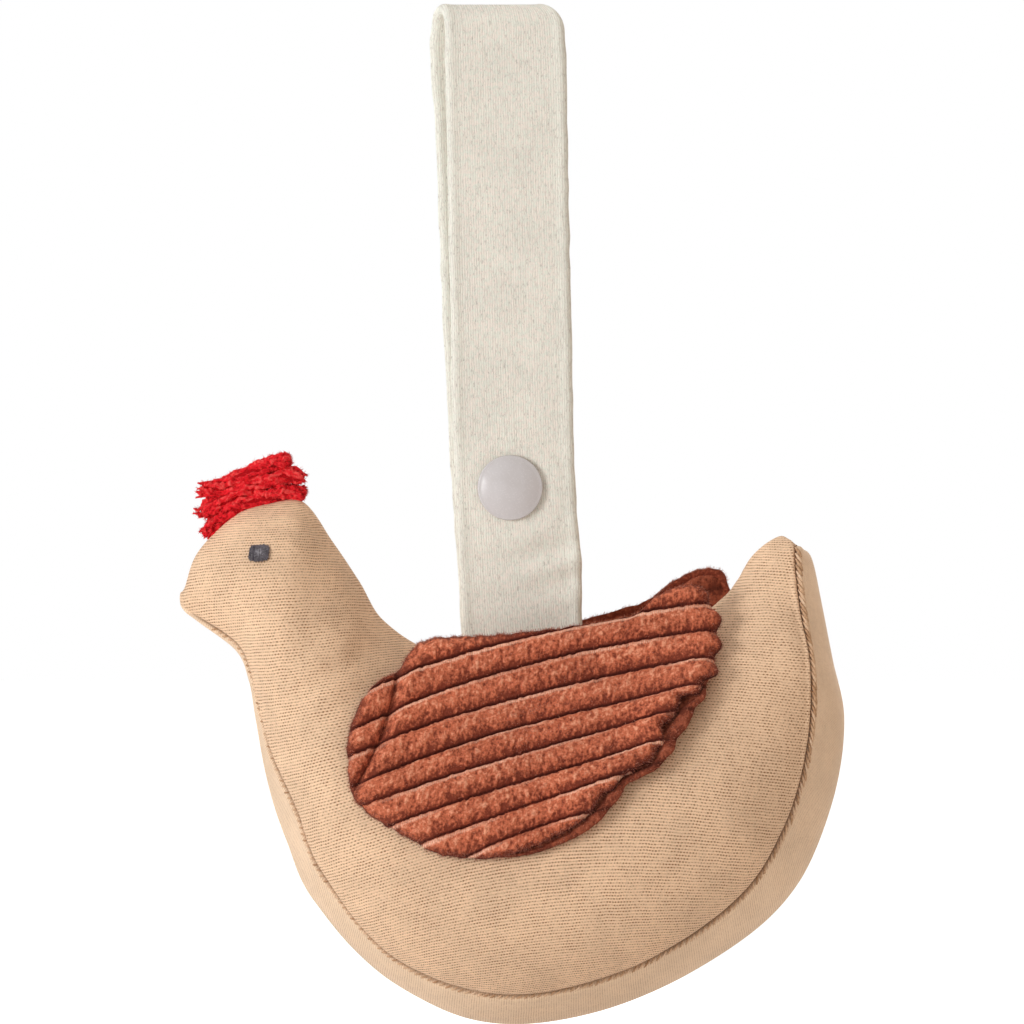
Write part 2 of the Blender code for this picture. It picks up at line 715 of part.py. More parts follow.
def build_eyes(hinge):
    step = 0.5 * MM
    width = body_half_width(EYE_X, EYE_Z)
    slope_x = (body_half_width(EYE_X + step, EYE_Z) - body_half_width(EYE_X - step, EYE_Z)) / (2 * step)
    slope_z = (body_half_width(EYE_X, EYE_Z + step) - body_half_width(EYE_X, EYE_Z - step)) / (2 * step)
    for name, side in (("eye_left", -1), ("eye_right", 1)):
        normal = Vector((-slope_x, 1.0, -slope_z)).normalized()
        normal.y *= side
        centre = Vector((EYE_X, side * width, EYE_Z)) + normal * (GAP + EYE_THICKNESS / 2)
        body = bmesh.new()
        bmesh.ops.create_uvsphere(body, u_segments=12, v_segments=8, radius=0.5)
        size = Matrix.Diagonal((EYE_LENGTH, EYE_THICKNESS, EYE_HEIGHT, 1.0))
        turn = Vector((0, side, 0)).rotation_difference(normal).to_matrix().to_4x4()
        body.transform(turn @ size)
        mesh = bpy.data.meshes.new("eye")
        body.to_mesh(mesh)
        body.free()
        eye = add_part(name, mesh, SLATE, 0.6, hinge)
        eye.location = centre


# Wings

def wing_inside(x, z):
    """Distance of a wing's inner face from the middle plane, without its side."""
    hug = body_half_width(x, z) + WING_CLEARANCE
    free = WING_TOP_SPREAD + WING_TOP_SLOPE * (WING_TOP_HEIGHT - z)
    return 0.5 * (hug + free + math.sqrt((hug - free) ** 2 + WING_BLEND ** 2))


def placed(x, z, lie):
    """A point of the left wing's drawing, with its tip drawn back and turned about the stitch line."""
    tilt, reach = lie
    x += reach * smooth_step((x - WING_REACH_START) / (WING_REACH_END - WING_REACH_START))
    middle_x = (STITCH_TOP[0] + STITCH_BOTTOM[0]) / 2 * MM
    middle_z = (STITCH_TOP[1] + STITCH_BOTTOM[1]) / 2 * MM
    across = x - middle_x
    up = z - middle_z
    return (middle_x + across * math.cos(tilt) - up * math.sin(tilt),
            middle_z + across * math.sin(tilt) + up * math.cos(tilt))


def rib_rise(x):
    return RIB_SLOPE * x - RIB_BEND * x * x / 2


def rib_height(level):
    """Height of the pile at a level counted across the ribs."""
    return RIB_HEIGHT * math.sqrt(abs(math.sin(math.pi * (level - RIB_PHASE) / RIB_PITCH)))


def wing_sheet(side, lie, start, thickness, ribbed):
    """Sheet that lies over the hen's side, wider than the wing, with its ribs where it has any."""
    edge = [Vector(corner) * MM for corner in WING_FREE_EDGE + WING_FRONT_EDGE]
    left = min(corner.x for corner in edge) - WING_OVERHANG
    right = max(corner.x for corner in edge) + WING_OVERHANG
    levels = [corner.y - rib_rise(corner.x) for corner in edge]
    step = RIB_PITCH / (RIB_STEPS if ribbed else LINING_STEPS)
    first = math.floor((min(levels) - WING_OVERHANG - RIB_PHASE) / step)
    last = math.ceil((max(levels) + WING_OVERHANG - RIB_PHASE) / step)
    outer = []
    inner = []
    for number in range(first, last + 1):
        level = RIB_PHASE + number * step
        pile = rib_height(level) if ribbed else 0.0
        outer_row = []
        inner_row = []
        for j in range(WING_COLUMNS + 1):
            drawn_x = left + (right - left) * j / WING_COLUMNS
            x, z = placed(drawn_x, level + rib_rise(drawn_x), lie)
            y = wing_inside(x, z) + start
            inner_row.append(Vector((x, side * y, z)))
            outer_row.append(Vector((x, side * (y + thickness + pile), z)))
        outer.append(outer_row)
        inner.append(inner_row)
    return shell_mesh(outer, inner)


def smooth_edge(corners):
    """The free edge with one more point between each pair, on a smooth curve."""
    points = []
    for i in range(len(corners) - 1):
        around = [corners[min(max(i + step, 0), len(corners) - 1)] for step in (-1, 0, 1, 2)]
        for t in (0.0, 0.5):
            points.append(tuple(spline_value(*values, t) for values in zip(*around)))
    return points + [corners[-1]]


def outline_cutter(name, corners, lie, side, parent, origin):
    """Prism across the wing, from the middle plane out past it."""
    reach = 2 * max(row[4] for row in STATIONS) * MM
    low = []
    for x, z in corners:
        placed_x, placed_z = placed(x * MM, z * MM, lie)
        low.append(Vector((placed_x, 0, placed_z)) - origin)
    high = [point + Vector((0, side * reach, 0)) for point in low]
    count = len(low)
    faces = [tuple(range(count)), tuple(range(2 * count - 1, count - 1, -1))]
    faces += [(i, (i + 1) % count, (i + 1) % count + count, i + count) for i in range(count)]
    return add_cutter(name, mesh_from_faces(low + high, faces), parent)


def stitch_shifted(shift):
    """Both ends of the stitch line, moved along X by a distance in millimetres."""
    top = (STITCH_TOP[0] + shift, STITCH_TOP[1])
    bottom = (STITCH_BOTTOM[0] + shift, STITCH_BOTTOM[1])
    return top, bottom


def wing_hinge_line(side, lie):
    """A point and a downward direction of the axis, just clear of the ribs along the stitch."""
    stack = WING_LINING + GAP + WING_BASE + RIB_HEIGHT
    samples = []
    for i in range(13):
        share = i / 12
        x = STITCH_TOP[0] + (STITCH_BOTTOM[0] - STITCH_TOP[0]) * share
        z = STITCH_TOP[1] + (STITCH_BOTTOM[1] - STITCH_TOP[1]) * share
        x, z = placed(x * MM, z * MM, lie)
        samples.append(Vector((x, wing_inside(x, z) + stack, z)))
    top = samples[0]
    bottom = samples[-1]
    bulge = 0.0
    for i, sample in enumerate(samples):
        straight = top.y + (bottom.y - top.y) * i / 12
        bulge = max(bulge, sample.y - straight)
    axis_top = Vector((top.x, side * (top.y + bulge), top.z))
    axis_bottom = Vector((bottom.x, side * (bottom.y + bulge), bottom.z))
    return (axis_top + axis_bottom) / 2, (axis_bottom - axis_top).normalized()


def build_wing(word, side, lie, hinge):
    gap = GAP / MM / math.cos(math.radians(20)) / 2
    top, bottom = stitch_shifted(gap)
    free_outline = [top] + smooth_edge(WING_FREE_EDGE) + [bottom]
    top, bottom = stitch_shifted(-gap)
    front_outline = [bottom] + smooth_edge(WING_FRONT_EDGE) + [top]

    axis_point, _ = wing_hinge_line(side, lie)
    pivot = add_empty("wing_%s_hinge" % word, axis_point, hinge)
    cutter = outline_cutter("wing_%s_outline" % word, free_outline, lie, side, pivot, axis_point)
    lining = wing_sheet(side, lie, 0.0, WING_LINING, False)
    outer = wing_sheet(side, lie, WING_LINING + GAP, WING_BASE, True)
    for name, mesh in (("lining", lining), ("outer", outer)):
        sheet = add_part("wing_%s_%s" % (word, name), mesh, RUST, 1.0, pivot, axis_point)
        add_boolean(sheet, cutter, "INTERSECT")

    edge_mesh = wing_sheet(side, lie, 0.0, WING_LINING + GAP + WING_BASE, True)
    edge = add_part("wing_%s_sewn_edge" % word, edge_mesh, RUST, 1.0, hinge)
    cutter = outline_cutter("wing_%s_front" % word, front_outline, lie, side, hinge, Vector((0, 0, 0)))
    add_boolean(edge, cutter, "INTERSECT")


def build():
    band, loose, end_pivot, end_hinge, hen_hinge = build_strap()
    build_snap(band, loose, end_pivot, end_hinge)
    hinge = add_empty("hen_hinge", hen_hinge)
    body, slot_floor = build_body(hinge)
    build_rattle(body, slot_floor, hinge)
    build_comb(hinge)
    build_eyes(hinge)
    build_wing("left", -1, (0.0, 0.0), hinge)
    build_wing("right", 1, (WING_RIGHT_TILT, WING_RIGHT_REACH), hinge)
    for part in model.objects:
        if part.type == "MESH" and not part.modifiers:
            part.data.shade_smooth()
            part.data.set_sharp_from_angle(angle=math.radians(40))


build()
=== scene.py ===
"""Looks of the chicken rattle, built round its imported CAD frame. Metres, +Z up.

The hen's head points to -X, and its left side, which the camera sees, faces -Y.
Cloth is worked out in millimetres and turned to metres where its mesh is made.
The hen and its wings are drawn in the hen's own frame, whose origin is the strap's base.
"""
import math

import bpy
import numpy as np
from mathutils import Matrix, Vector


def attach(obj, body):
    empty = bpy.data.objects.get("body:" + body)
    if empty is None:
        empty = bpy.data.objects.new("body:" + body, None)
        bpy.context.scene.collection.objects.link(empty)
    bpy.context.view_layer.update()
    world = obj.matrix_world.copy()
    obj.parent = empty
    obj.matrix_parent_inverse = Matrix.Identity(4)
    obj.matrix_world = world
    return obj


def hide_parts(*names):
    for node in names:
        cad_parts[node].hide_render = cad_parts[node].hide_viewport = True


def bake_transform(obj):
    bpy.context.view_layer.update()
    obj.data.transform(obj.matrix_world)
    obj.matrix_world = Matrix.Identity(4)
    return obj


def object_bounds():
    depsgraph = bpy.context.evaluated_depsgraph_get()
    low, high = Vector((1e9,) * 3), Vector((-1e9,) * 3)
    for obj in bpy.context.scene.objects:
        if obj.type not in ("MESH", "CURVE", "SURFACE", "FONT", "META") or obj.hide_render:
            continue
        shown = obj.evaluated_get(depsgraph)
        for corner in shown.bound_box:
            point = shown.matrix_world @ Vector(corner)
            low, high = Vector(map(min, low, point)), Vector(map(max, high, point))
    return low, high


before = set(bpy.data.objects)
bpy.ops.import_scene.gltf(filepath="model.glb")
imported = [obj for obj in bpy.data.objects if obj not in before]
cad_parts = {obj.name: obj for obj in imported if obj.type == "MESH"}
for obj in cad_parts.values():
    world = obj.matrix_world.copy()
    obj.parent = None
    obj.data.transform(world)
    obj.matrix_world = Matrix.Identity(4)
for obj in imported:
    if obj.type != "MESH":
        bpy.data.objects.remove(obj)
cad_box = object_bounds()

MM = 0.001
TAU = math.tau

# Strap and snap, as in the part
STRAP_HALF_WIDTH = 11.5
STRAP_HALF_THICKNESS = 0.9
STRAP_DROP = 121.8
FOLD_INNER_RADIUS = 4.0
FOLD_RADIUS = FOLD_INNER_RADIUS + STRAP_HALF_THICKNESS
FOLD_SKEW = 2.4
STRAP_LEAN = 3.6
STRAP_DRIFT = 0.62
SNAP_DROP = 90.0
SNAP_OFFSET = -0.9
LOOSE_END_DROP = 106.0
LOOSE_END_TUCK = 1.4
SEWN_END_DEPTH = 9.0
CAP_RADIUS = 6.2
POST_RADIUS = 1.2
SNAP_BODY_RADIUS = 4.8
SOCKET_HEIGHT = 2.2
SOCKET_FLOOR = 0.6
STUD_FLANGE = 0.8
STUD_RADIUS = 2.6
STUD_HEIGHT = 1.5
GAP = 0.3
SNAP_SPREAD = SOCKET_HEIGHT + STUD_FLANGE + 3 * GAP + 2 * STRAP_HALF_THICKNESS
FLAT_FROM_DROP = SNAP_DROP - CAP_RADIUS
FOLD_STEPS = 14
STRAP_STEP = 0.75
STRAP_COLUMNS = 207
STRAP_CORNER = 1.0
STRAP_RIB = 0.46
STRAP_RIB_HEIGHT = 0.018
EDGE_ROLL = 0.14
CREST_TRIM = 3.1
CREST_TRIM_REACH = 2.1
# Where the folds under the snap are deepest
FOLDS_DROP = 104
SNAP_STEPS = 64
SNAP_SHARP_ANGLE = math.radians(50)

# Hen: ridge x and z, keel x and z, half width and the seam's share of the way down
HEN = np.array((STRAP_LEAN, 0.0, -STRAP_DROP))
STATIONS = np.array((
    (-65.1, 12.0, -65.0, 9.0, 1.2, 0.90),
    (-64.4, 13.1, -63.8, 7.8, 2.6, 0.93),
    (-61.6, 19.6, -61.6, 6.2, 4.6, 0.95),
    (-54.7, 26.6, -54.7, 0.9, 9.6, 0.95),
    (-48.3, 28.9, -52.1, -4.8, 12.4, 0.95),
    (-42.0, 29.3, -50.7, -12.4, 14.4, 0.94),
    (-36.5, 21.9, -48.5, -23.8, 17.0, 0.91),
    (-31.4, 14.3, -44.8, -35.2, 20.5, 0.88),
    (-26.6, 6.7, -39.5, -46.6, 24.0, 0.90),
    (-16.0, 0.2, -24.9, -61.8, 27.0, 0.93),
    (-0.8, -1.2, -4.6, -69.7, 28.5, 0.92),
    (14.4, 0.2, 19.6, -65.6, 28.0, 0.91),
    (29.6, 5.2, 40.9, -54.2, 24.5, 0.88),
    (37.6, 10.8, 52.1, -42.8, 19.8, 0.81),
    (40.5, 14.3, 58.5, -27.6, 15.4, 0.74),
    (41.8, 16.5, 60.6, -12.4, 12.4, 0.67),
    (43.4, 18.8, 58.7, -1.0, 9.6, 0.62),
    (46.2, 21.4, 56.2, 10.5, 7.0, 0.56),
    (48.8, 22.7, 54.4, 18.4, 4.6, 0.49),
    (50.6, 21.6, 52.7, 20.2, 2.6, 0.46),
))
LAST = len(STATIONS) - 1
RIDGE_POWER = 0.75
KEEL_POWER = 0.5
WIDEST = RIDGE_POWER / (RIDGE_POWER + KEEL_POWER)
RIDGE_STEEPNESS = 1.6
MOST_INSET = 0.35
LEAST_CORE = 0.3
SKIN = 1.0
BEAK_ROUND = 0.4
TAIL_ROUND = 0.5
TIP_TURNS = np.radians((25, 48, 68, 82))
PATH_POINTS = 181
HALVINGS = 20
BODY_MIDDLE = np.array((0, 0, -20))

# Skin: its rows from beak to tail and columns from seam to seam
BODY_ROWS = 301
PANEL_COLUMNS = 116
PANEL_PINCH = 0.8
GUSSET_COLUMNS = 34
GUSSET_PINCH = 0.5
# Each seam's groove width, then the height, place and width of the welt beside it
PANEL_SEAM = (0.42, 0.22, 1.5, 0.9)
GUSSET_SEAM = (0.40, 0.20, 1.3, 0.8)
RIDGE_SEAM = (0.45, 0.08, 1.2, 0.7)
SEAM_DEPTH = 0.95
RIDGE_DEPTH = 0.30
PUCKER = 0.45
PUCKER_PITCH = 1.5
# Between these stations the groove is shallower, because the filling lies close under it
THROAT = (1.0, 4.4)
THROAT_FADE = 0.8
THROAT_RELIEF = 0.72
# Strength of the painted seam shade on the tail's tip, which it darkens whole
TAIL_SHADE = 5.0
SEAM_STITCH_PITCH = 1.25
SEAM_POINTS = 900
SEAM_STITCH_POINTS = 6

# Cloth run that puffs the skin out, drawn large because the solver works in metres
COARSE_STATIONS = np.linspace(0, LAST, 91)
PANEL_PARTS = 20
GUSSET_PARTS = 10
MOST_PUFF = 0.35
PUFF_SMOOTHINGS = 12
CLOTH_SCALE = 10 * MM
CLOTH_FRAMES = 20
CLOTH = {
    "quality": 6, "mass": 0.2, "tension_stiffness": 12, "compression_stiffness": 12,
    "shear_stiffness": 6, "bending_stiffness": 0.3, "use_pressure": True,
    "uniform_pressure_force": 4, "shrink_min": -0.03, "vertex_group_mass": "held",
}

# Knit
COURSE = 0.59
WALE = 0.56
GUSSET_COURSE = 0.48
GUSSET_WALE = 0.42
# Half width and height of the hole between stitches, as shares of a wale and a course
HOLE_HALF = (0.34, 0.27)
# From where to where across the strap its knit turns paler
PALE_EDGE = (7.5, 11.0)
# How steeply the courses climb to the right, as X, Z and degrees
COURSE_TILTS = np.array((
    (-59.7, 18.0, 6), (-48.3, 20.9, 1), (-38.8, 18.0, -3), (-55.9, 9.0, 8), (-42.6, -4.8, 9),
    (-34.4, -16.7, 15), (-39.5, -35.9, 22), (-20.1, -52.8, 12), (-4.6, -65.5, 8), (4.2, -52.8, 8),
    (16.3, -40.7, 4), (33.4, -56.0, 3), (35.2, -16.7, -1), (41.8, -11.4, -1), (48.1, 5.1, -2),
))
COURSE_REACH = 13.0

# Wings, drawn on the left one
STITCH = np.array(((-24.1, -3.2), (-32.1, -25.7)))
STITCH_MIDDLE = STITCH.mean(0)
STITCH_DOWN = (STITCH[1] - STITCH[0]) / np.linalg.norm(STITCH[1] - STITCH[0])
STITCH_BACK = np.array((-STITCH_DOWN[1], STITCH_DOWN[0]))
# X, Z and how far the outer layer's edge is rolled in from there
WING_OUTLINE = np.array((
    (-24.1, -3.2, 0), (-20.0, 2.1, 0), (-12.0, 3.2, 0), (-2.1, 3.9, 0), (6.3, 5.0, 0),
    (11.8, 5.9, 0), (20.7, 7.6, 0), (25.3, 10.6, 0), (28.7, 12.5, 0), (32.7, 12.8, 0),
    (35.2, 10.6, 0), (36.8, 7.0, 0), (37.2, 3.2, 0), (36.6, 0.0, 0), (36.7, -3.2, 0.2),
    (34.8, -7.8, 1.0), (32.2, -12.0, 2.8), (29.3, -16.7, 3.0), (26.2, -21.3, 1.7),
    (22.8, -23.4, 1.6), (19.2, -25.0, 1.5), (17.6, -28.0, 2.3), (14.3, -31.2, 2.3),
    (9.3, -34.6, 1.7), (2.9, -37.1, 1.2), (-4.6, -38.6, 0.6), (-12.0, -38.0, 0),
    (-17.0, -36.9, 0), (-22.0, -34.2, 0), (-27.0, -31.4, 0), (-30.4, -28.7, 0),
    (-32.5, -25.6, 0), (-33.2, -20.7, 0), (-33.3, -15.8, 0), (-32.3, -11.8, 0),
    (-30.2, -7.8, 0), (-27.2, -4.8, 0),
))
WING_CENTRE = np.array((1.0, -13.5))
WING_RIGHT_TILT = math.radians(2.9)
WING_RIGHT_REACH = 5.0
WING_REACH_START = 12.0
WING_REACH_END = 28.0
WING_CLEARANCE = 0.5
WING_TOP_SPREAD = 9.3
WING_TOP_HEIGHT = 6.0
WING_TOP_SLOPE = 0.33
WING_BLEND = 3.0
WING_LINING = 0.7
WING_BASE = 0.9
RIB_HEIGHT = 1.6
RIB_PITCH = 5.4
# Length along a sloping rib for each step in X
RIB_SLOPE = 1.035
STITCH_BOW = 1.2
SCALLOP = 0.60
# The rib, counted from the top, whose weave shows along its whole length
OPEN_RIB = 2
LOOP_POINTS = 720
OUTER_RINGS = 104
INNER_STEP = 5
LINING_RINGS = 60
PILE_HAIRS = 5200
RIM_HAIRS = 3400
FIELD_STEP = 0.5
FIELD_X = np.arange(-40.0, 50.0, FIELD_STEP)
FIELD_Z = np.arange(-46.0, 26.0, FIELD_STEP)
# Passes over the field: the first few widen the bulge of the body, and the rest soften it
FIELD_PASSES = 40
WIDENING_PASSES = 2
# The valleys between the ribs, each as height, slope and bend along X
VALLEYS = np.array((
    (14.6, 0.26, -0.0015), (8.6, 0.26, -0.0020), (2.8, 0.261, -0.0021), (-2.7, 0.276, -0.0025),
    (-8.6, 0.263, -0.0017), (-14.35, 0.270, -0.0017), (-19.4, 0.275, -0.0006),
    (-24.5, 0.285, -0.0006), (-29.1, 0.320, -0.0003), (-33.7, 0.345, -0.0040),
    (-38.2, 0.36, -0.0045), (-43.0, 0.36, -0.0045),
))

# Comb and eyes
COMB_PLIES = 7
COMB_ROW_POINTS = 170
PLY_TWIST = 34
PLY_SIDES = 12
PLY_HAIRS = 380
FRAY_HAIRS = 24
COMB_LINES = (
    ((-60.5, 23.1), (-58.0, 26.0), (-53.3, 28.8), (-48.4, 30.4), (-45.2, 30.8), (-41.3, 30.4)),
    ((-60.9, 27.2), (-57.7, 29.1), (-53.2, 31.5), (-48.4, 33.2), (-45.2, 34.1), (-41.7, 34.0)),
    ((-60.8, 31.2), (-56.8, 32.0), (-52.5, 34.1), (-48.4, 35.7), (-46.4, 36.6), (-44.2, 37.2)),
)
EYE = np.array((-50.2, 19.4))
EYE_HALF = (1.9, 1.5)
EYE_STITCHES = 18
EYE_STITCH_POINTS = 15
EYE_HAIRS = 22

# Room, light and camera, in metres
FLOOR_HALF = 9.0
FLOOR_DROP = 0.025
FLOOR_COLOUR = (0.86, 0.86, 0.86, 1)
FLOOR_GLOW = 0.76
AMBIENT = 0.475
WARM = (0.84, 0.62, 0.43, 1.0)
WARM_REACH = 0.8
# Each lamp's place, size, power and colour
LAMPS = (
    ("key", (-0.95, -0.75, 0.02), 0.55, 6.9, (1, 1, 1)),
    ("fill", (0.85, -0.75, 0.05), 0.80, 0.7, WARM[:3]),
    ("top", (0.05, 0.15, 0.95), 0.70, 2.4, (1, 1, 1)),
    ("back", (0.35, 1.05, 0.25), 0.80, 3.2, (1, 1, 1)),
)
LAMP_TARGET = Vector((0.0, 0.0, -0.13))
PIXEL = 0.19 * MM
PHOTO_SIDE = 1024
FOLD_PIXEL = (505, 14)
LENS = 600.0
SENSOR = 36.0


def smooth_step(t):
    t = np.clip(t, 0.0, 1.0)
    return t * t * (3 - 2 * t)


def hump(t, width):
    return np.exp(-(t / width) ** 2)


def rounded(share):
    """Height of a quarter circle from its edge at 0 to its top at 1."""
    return np.sqrt(1 - (1 - np.clip(share, 0, 1)) ** 2)


def unit(vectors):
    return vectors / np.maximum(np.linalg.norm(vectors, axis=-1, keepdims=True), 1e-9)


def spline(before, start, end, after, t):
    """Catmull-Rom curve between start and end."""
    return 0.5 * (
        2 * start
        + (end - before) * t
        + (2 * before - 5 * start + 4 * end - after) * t ** 2
        + (3 * start - before - 3 * end + after) * t ** 3
    )


def along(values, at):
    """Values at places counted in rows, on a smooth curve through the rows."""
    last = len(values) - 1
    at = np.asarray(at, float)
    i = np.clip(at.astype(int), 0, last - 1)
    around = [values[np.clip(i + step, 0, last)] for step in (-1, 0, 1, 2)]
    t = (at - i).reshape(at.shape + (1,) * (values.ndim - 1))
    return spline(*around, t)


def resample(grid, rows, columns):
    """A grid of points at other places, counted in its rows and columns."""
    return along(along(grid, rows).swapaxes(0, 1), columns).swapaxes(0, 1)


def grain(u, v, seed):
    """Smooth noise from -1 to 1 with one cell for each unit of u and v."""
    table = np.random.RandomState(seed).uniform(-1, 1, (64, 64))
    i = np.floor(u).astype(int)
    j = np.floor(v).astype(int)
    a = smooth_step(u - i)
    b = smooth_step(v - j)
    low = table[i % 64, j % 64] * (1 - a) + table[(i + 1) % 64, j % 64] * a
    high = table[i % 64, (j + 1) % 64] * (1 - a) + table[(i + 1) % 64, (j + 1) % 64] * a
    return low * (1 - b) + high * b


def stacked(*columns):
    """Coordinates side by side as points."""
    return np.stack(np.broadcast_arrays(*columns), -1)


def lengths_along(points):
    """Length from the first point to each point, along the second last axis."""
    steps = np.linalg.norm(np.diff(points, axis=-2), axis=-1)
    zero = np.zeros(steps.shape[:-1] + (1,))
    return np.concatenate([zero, np.cumsum(steps, axis=-1)], axis=-1)


# Meshes


def new_object(name, data):
    """An object in the scene that shows the data."""
    thing = bpy.data.objects.new(name, data)
    bpy.context.scene.collection.objects.link(thing)
    return thing


def volume(corners):
    """Six times the volume inside faces, from the first three corners of each."""
    return (corners[:, 0] * np.cross(corners[:, 1], corners[:, 2])).sum()


def make_piece(name, points, faces, material, origin=HEN, **values):
    """A piece from points in millimetres about the origin, arrays of faces, and point values."""
    points = (np.asarray(points, float).reshape(-1, 3) + origin) * MM
    tips = [points[f[:, [0, k - 1, k]]] for f in faces for k in range(2, f.shape[1])]
    if volume(np.concatenate(tips)) < 0:
        faces = [f[:, ::-1] for f in faces]
    mesh = bpy.data.meshes.new(name)
    mesh.vertices.add(len(points))
    mesh.vertices.foreach_set("co", points.astype(np.float32).ravel())
    corners = np.concatenate([f.ravel() for f in faces]).astype(np.int32)
    sizes = np.concatenate([np.full(len(f), f.shape[1]) for f in faces])
    mesh.loops.add(len(corners))
    mesh.loops.foreach_set("vertex_index", corners)
    mesh.polygons.add(len(sizes))
    starts = np.concatenate([[0], np.cumsum(sizes)[:-1]]).astype(np.int32)
    mesh.polygons.foreach_set("loop_start", starts)
    mesh.update(calc_edges=True)
    mesh.validate()
    mesh.shade_smooth()
    values["rest"] = points / MM
    for key, data in values.items():
        data = np.asarray(data, np.float32)
        single = data.size == len(points)
        attribute = mesh.attributes.new(key, "FLOAT" if single else "FLOAT_VECTOR", "POINT")
        attribute.data.foreach_set("value" if single else "vector", data.ravel())
    mesh.materials.append(material)
    return new_object(name, mesh)


def declared(piece, nodes=(), body=None):
    if nodes:
        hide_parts(*nodes)
    if body:
        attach(piece, body)


def grid_faces(index, wrap=False):
    """Quads over a grid of vertex numbers, round its columns too with wrap."""
    if wrap:
        index = np.concatenate([index, index[:, :1]], axis=1)
    corners = (index[:-1, :-1], index[1:, :-1], index[1:, 1:], index[:-1, 1:])
    return stacked(*corners).reshape(-1, 4)


def shell_faces(rows, columns):
    """Quads of a closed shell between two grids, the outer one numbered first."""
    index = np.arange(2 * rows * columns).reshape(2, rows, columns)
    ring = np.concatenate(
        [index[:, 0, :-1], index[:, :-1, -1], index[:, -1, :0:-1], index[:, :0:-1, 0]], axis=1
    )
    after = np.roll(ring, -1, axis=1)
    rim = stacked(ring[0], after[0], after[1], ring[1])
    return [np.concatenate([grid_faces(index[0]), grid_faces(index[1])[:, ::-1], rim])]


def tube_faces(rows, columns):
    """Faces of a closed tube made of rings."""
    index = np.arange(rows * columns).reshape(rows, columns)
    return [grid_faces(index, True), index[:1], index[-1:, ::-1]]


class Bundle:
    """Many small closed meshes with a tone at each point, made into one piece."""

    def __init__(self):
        self.points = []
        self.faces = []
        self.tones = []
        self.count = 0

    def add(self, points, faces, tones):
        self.points.append(points.reshape(-1, 3))
        self.faces += [f + self.count for f in faces]
        self.tones.append(tones.ravel())
        self.count += len(self.points[-1])

    def add_tube(self, rings, tone):
        self.add(rings, tube_faces(*rings.shape[:2]), np.broadcast_to(tone, rings.shape[:2]))

    def make(self, name, material):
        return make_piece(name, np.concatenate(self.points), self.faces, material,
                          tone=np.concatenate(self.tones))


def tube(line, radius, sides=8):
    """Rings of a tube along a line of points, with a radius at each."""
    forward = unit(np.gradient(line, axis=0))
    helper = np.array((0.0, 1.0, 0.0)) if abs(forward[0][1]) < 0.8 else np.array((1.0, 0.0, 0.0))
    first = unit(np.cross(forward, helper))
    second = np.cross(forward, first)
    angles = TAU * np.arange(sides) / sides
    radius = np.broadcast_to(np.asarray(radius, float), (len(line),))
    ring = first[:, None] * np.cos(angles)[:, None] + second[:, None] * np.sin(angles)[:, None]
    return line[:, None] + ring * radius[:, None, None]


def grid_normals(points):
    """Unit normals of a grid of points."""
    return unit(np.cross(np.gradient(points, axis=0), np.gradient(points, axis=1)))


def fibres(roots, directions, lengths, radius, bend, seed):
    """Short tapered hairs with three sides: points, faces, and a tone for each point."""
    chance = np.random.RandomState(seed)
    count = len(roots)
    directions = unit(directions)
    helper = unit(np.cross(directions, chance.normal(size=(count, 3))))
    other = np.cross(directions, helper)
    sway = helper * chance.normal(0, bend, (count, 1)) + other * chance.normal(0, bend, (count, 1))
    levels = ((0.0, 1.0), (0.5, 0.8))
    points = []
    for level, width in levels:
        centre = roots + (directions * level + sway * level ** 2) * lengths[:, None]
        for k in range(3):
            angle = TAU * k / 3
            ring = helper * math.cos(angle) + other * math.sin(angle)
            points.append(centre + ring * radius * width)
    points.append(roots + (directions + sway) * lengths[:, None])
    points = np.stack(points, 1)
    size = points.shape[1]
    base = size * np.arange(count)[:, None]
    quads = [(k, (k + 1) % 3, 3 + (k + 1) % 3, 3 + k) for k in range(3)]
    ends = [(3 + k, 3 + (k + 1) % 3, 6) for k in range(3)] + [(2, 1, 0)]
    faces = [
        np.concatenate([base + np.array(q) for q in quads]),
        np.concatenate([base + np.array(e) for e in ends]),
    ]
    tone = np.repeat(chance.uniform(0, 1, count), size)
    return points.reshape(-1, 3), faces, tone


# Materials


def rgb(red, green, blue):
    """A colour of 0 to 255 as linear light."""
    values = np.array((red, green, blue)) / 255
    values = np.where(values <= 0.04045, values / 12.92, ((values + 0.055) / 1.055) ** 2.4)
    return (*values.tolist(), 1.0)


class Nodes:
    """Adds nodes to a shader tree; an input takes a value or another node's output."""

    def __init__(self, tree):
        self.tree = tree

    def plug(self, value, socket):
        if isinstance(value, bpy.types.NodeSocket):
            self.tree.links.new(value, socket)
        else:
            socket.default_value = value

    def node(self, kind, inputs, output=0, **settings):
        node = self.tree.nodes.new("ShaderNode" + kind)
        for key, value in settings.items():
            setattr(node, key, value)
        for key, value in inputs.items():
            self.plug(value, node.inputs[key])
        return node.outputs[output]

    def math(self, operation, first, second=0.0, third=0.0):
        return self.node("Math", {0: first, 1: second, 2: third}, operation=operation)

    def split(self, vector):
        node = self.tree.nodes.new("ShaderNodeSeparateXYZ")
        self.plug(vector, node.inputs[0])
        return node.outputs[0], node.outputs[1]

    def mix(self, factor, first, second, blend="MIX"):
        sockets = {0: factor, 6: first, 7: second}
        return self.node("Mix", sockets, 2, data_type="RGBA", blend_type=blend)

    def rays(self, first, *others):
        """1 for light rays of the named kinds, 0 for the rest."""
        seen = self.node("LightPath", {}, "Is %s Ray" % first)
        for kind in others:
            seen = self.math("MAXIMUM", seen, self.node("LightPath", {}, "Is %s Ray" % kind))
        return seen


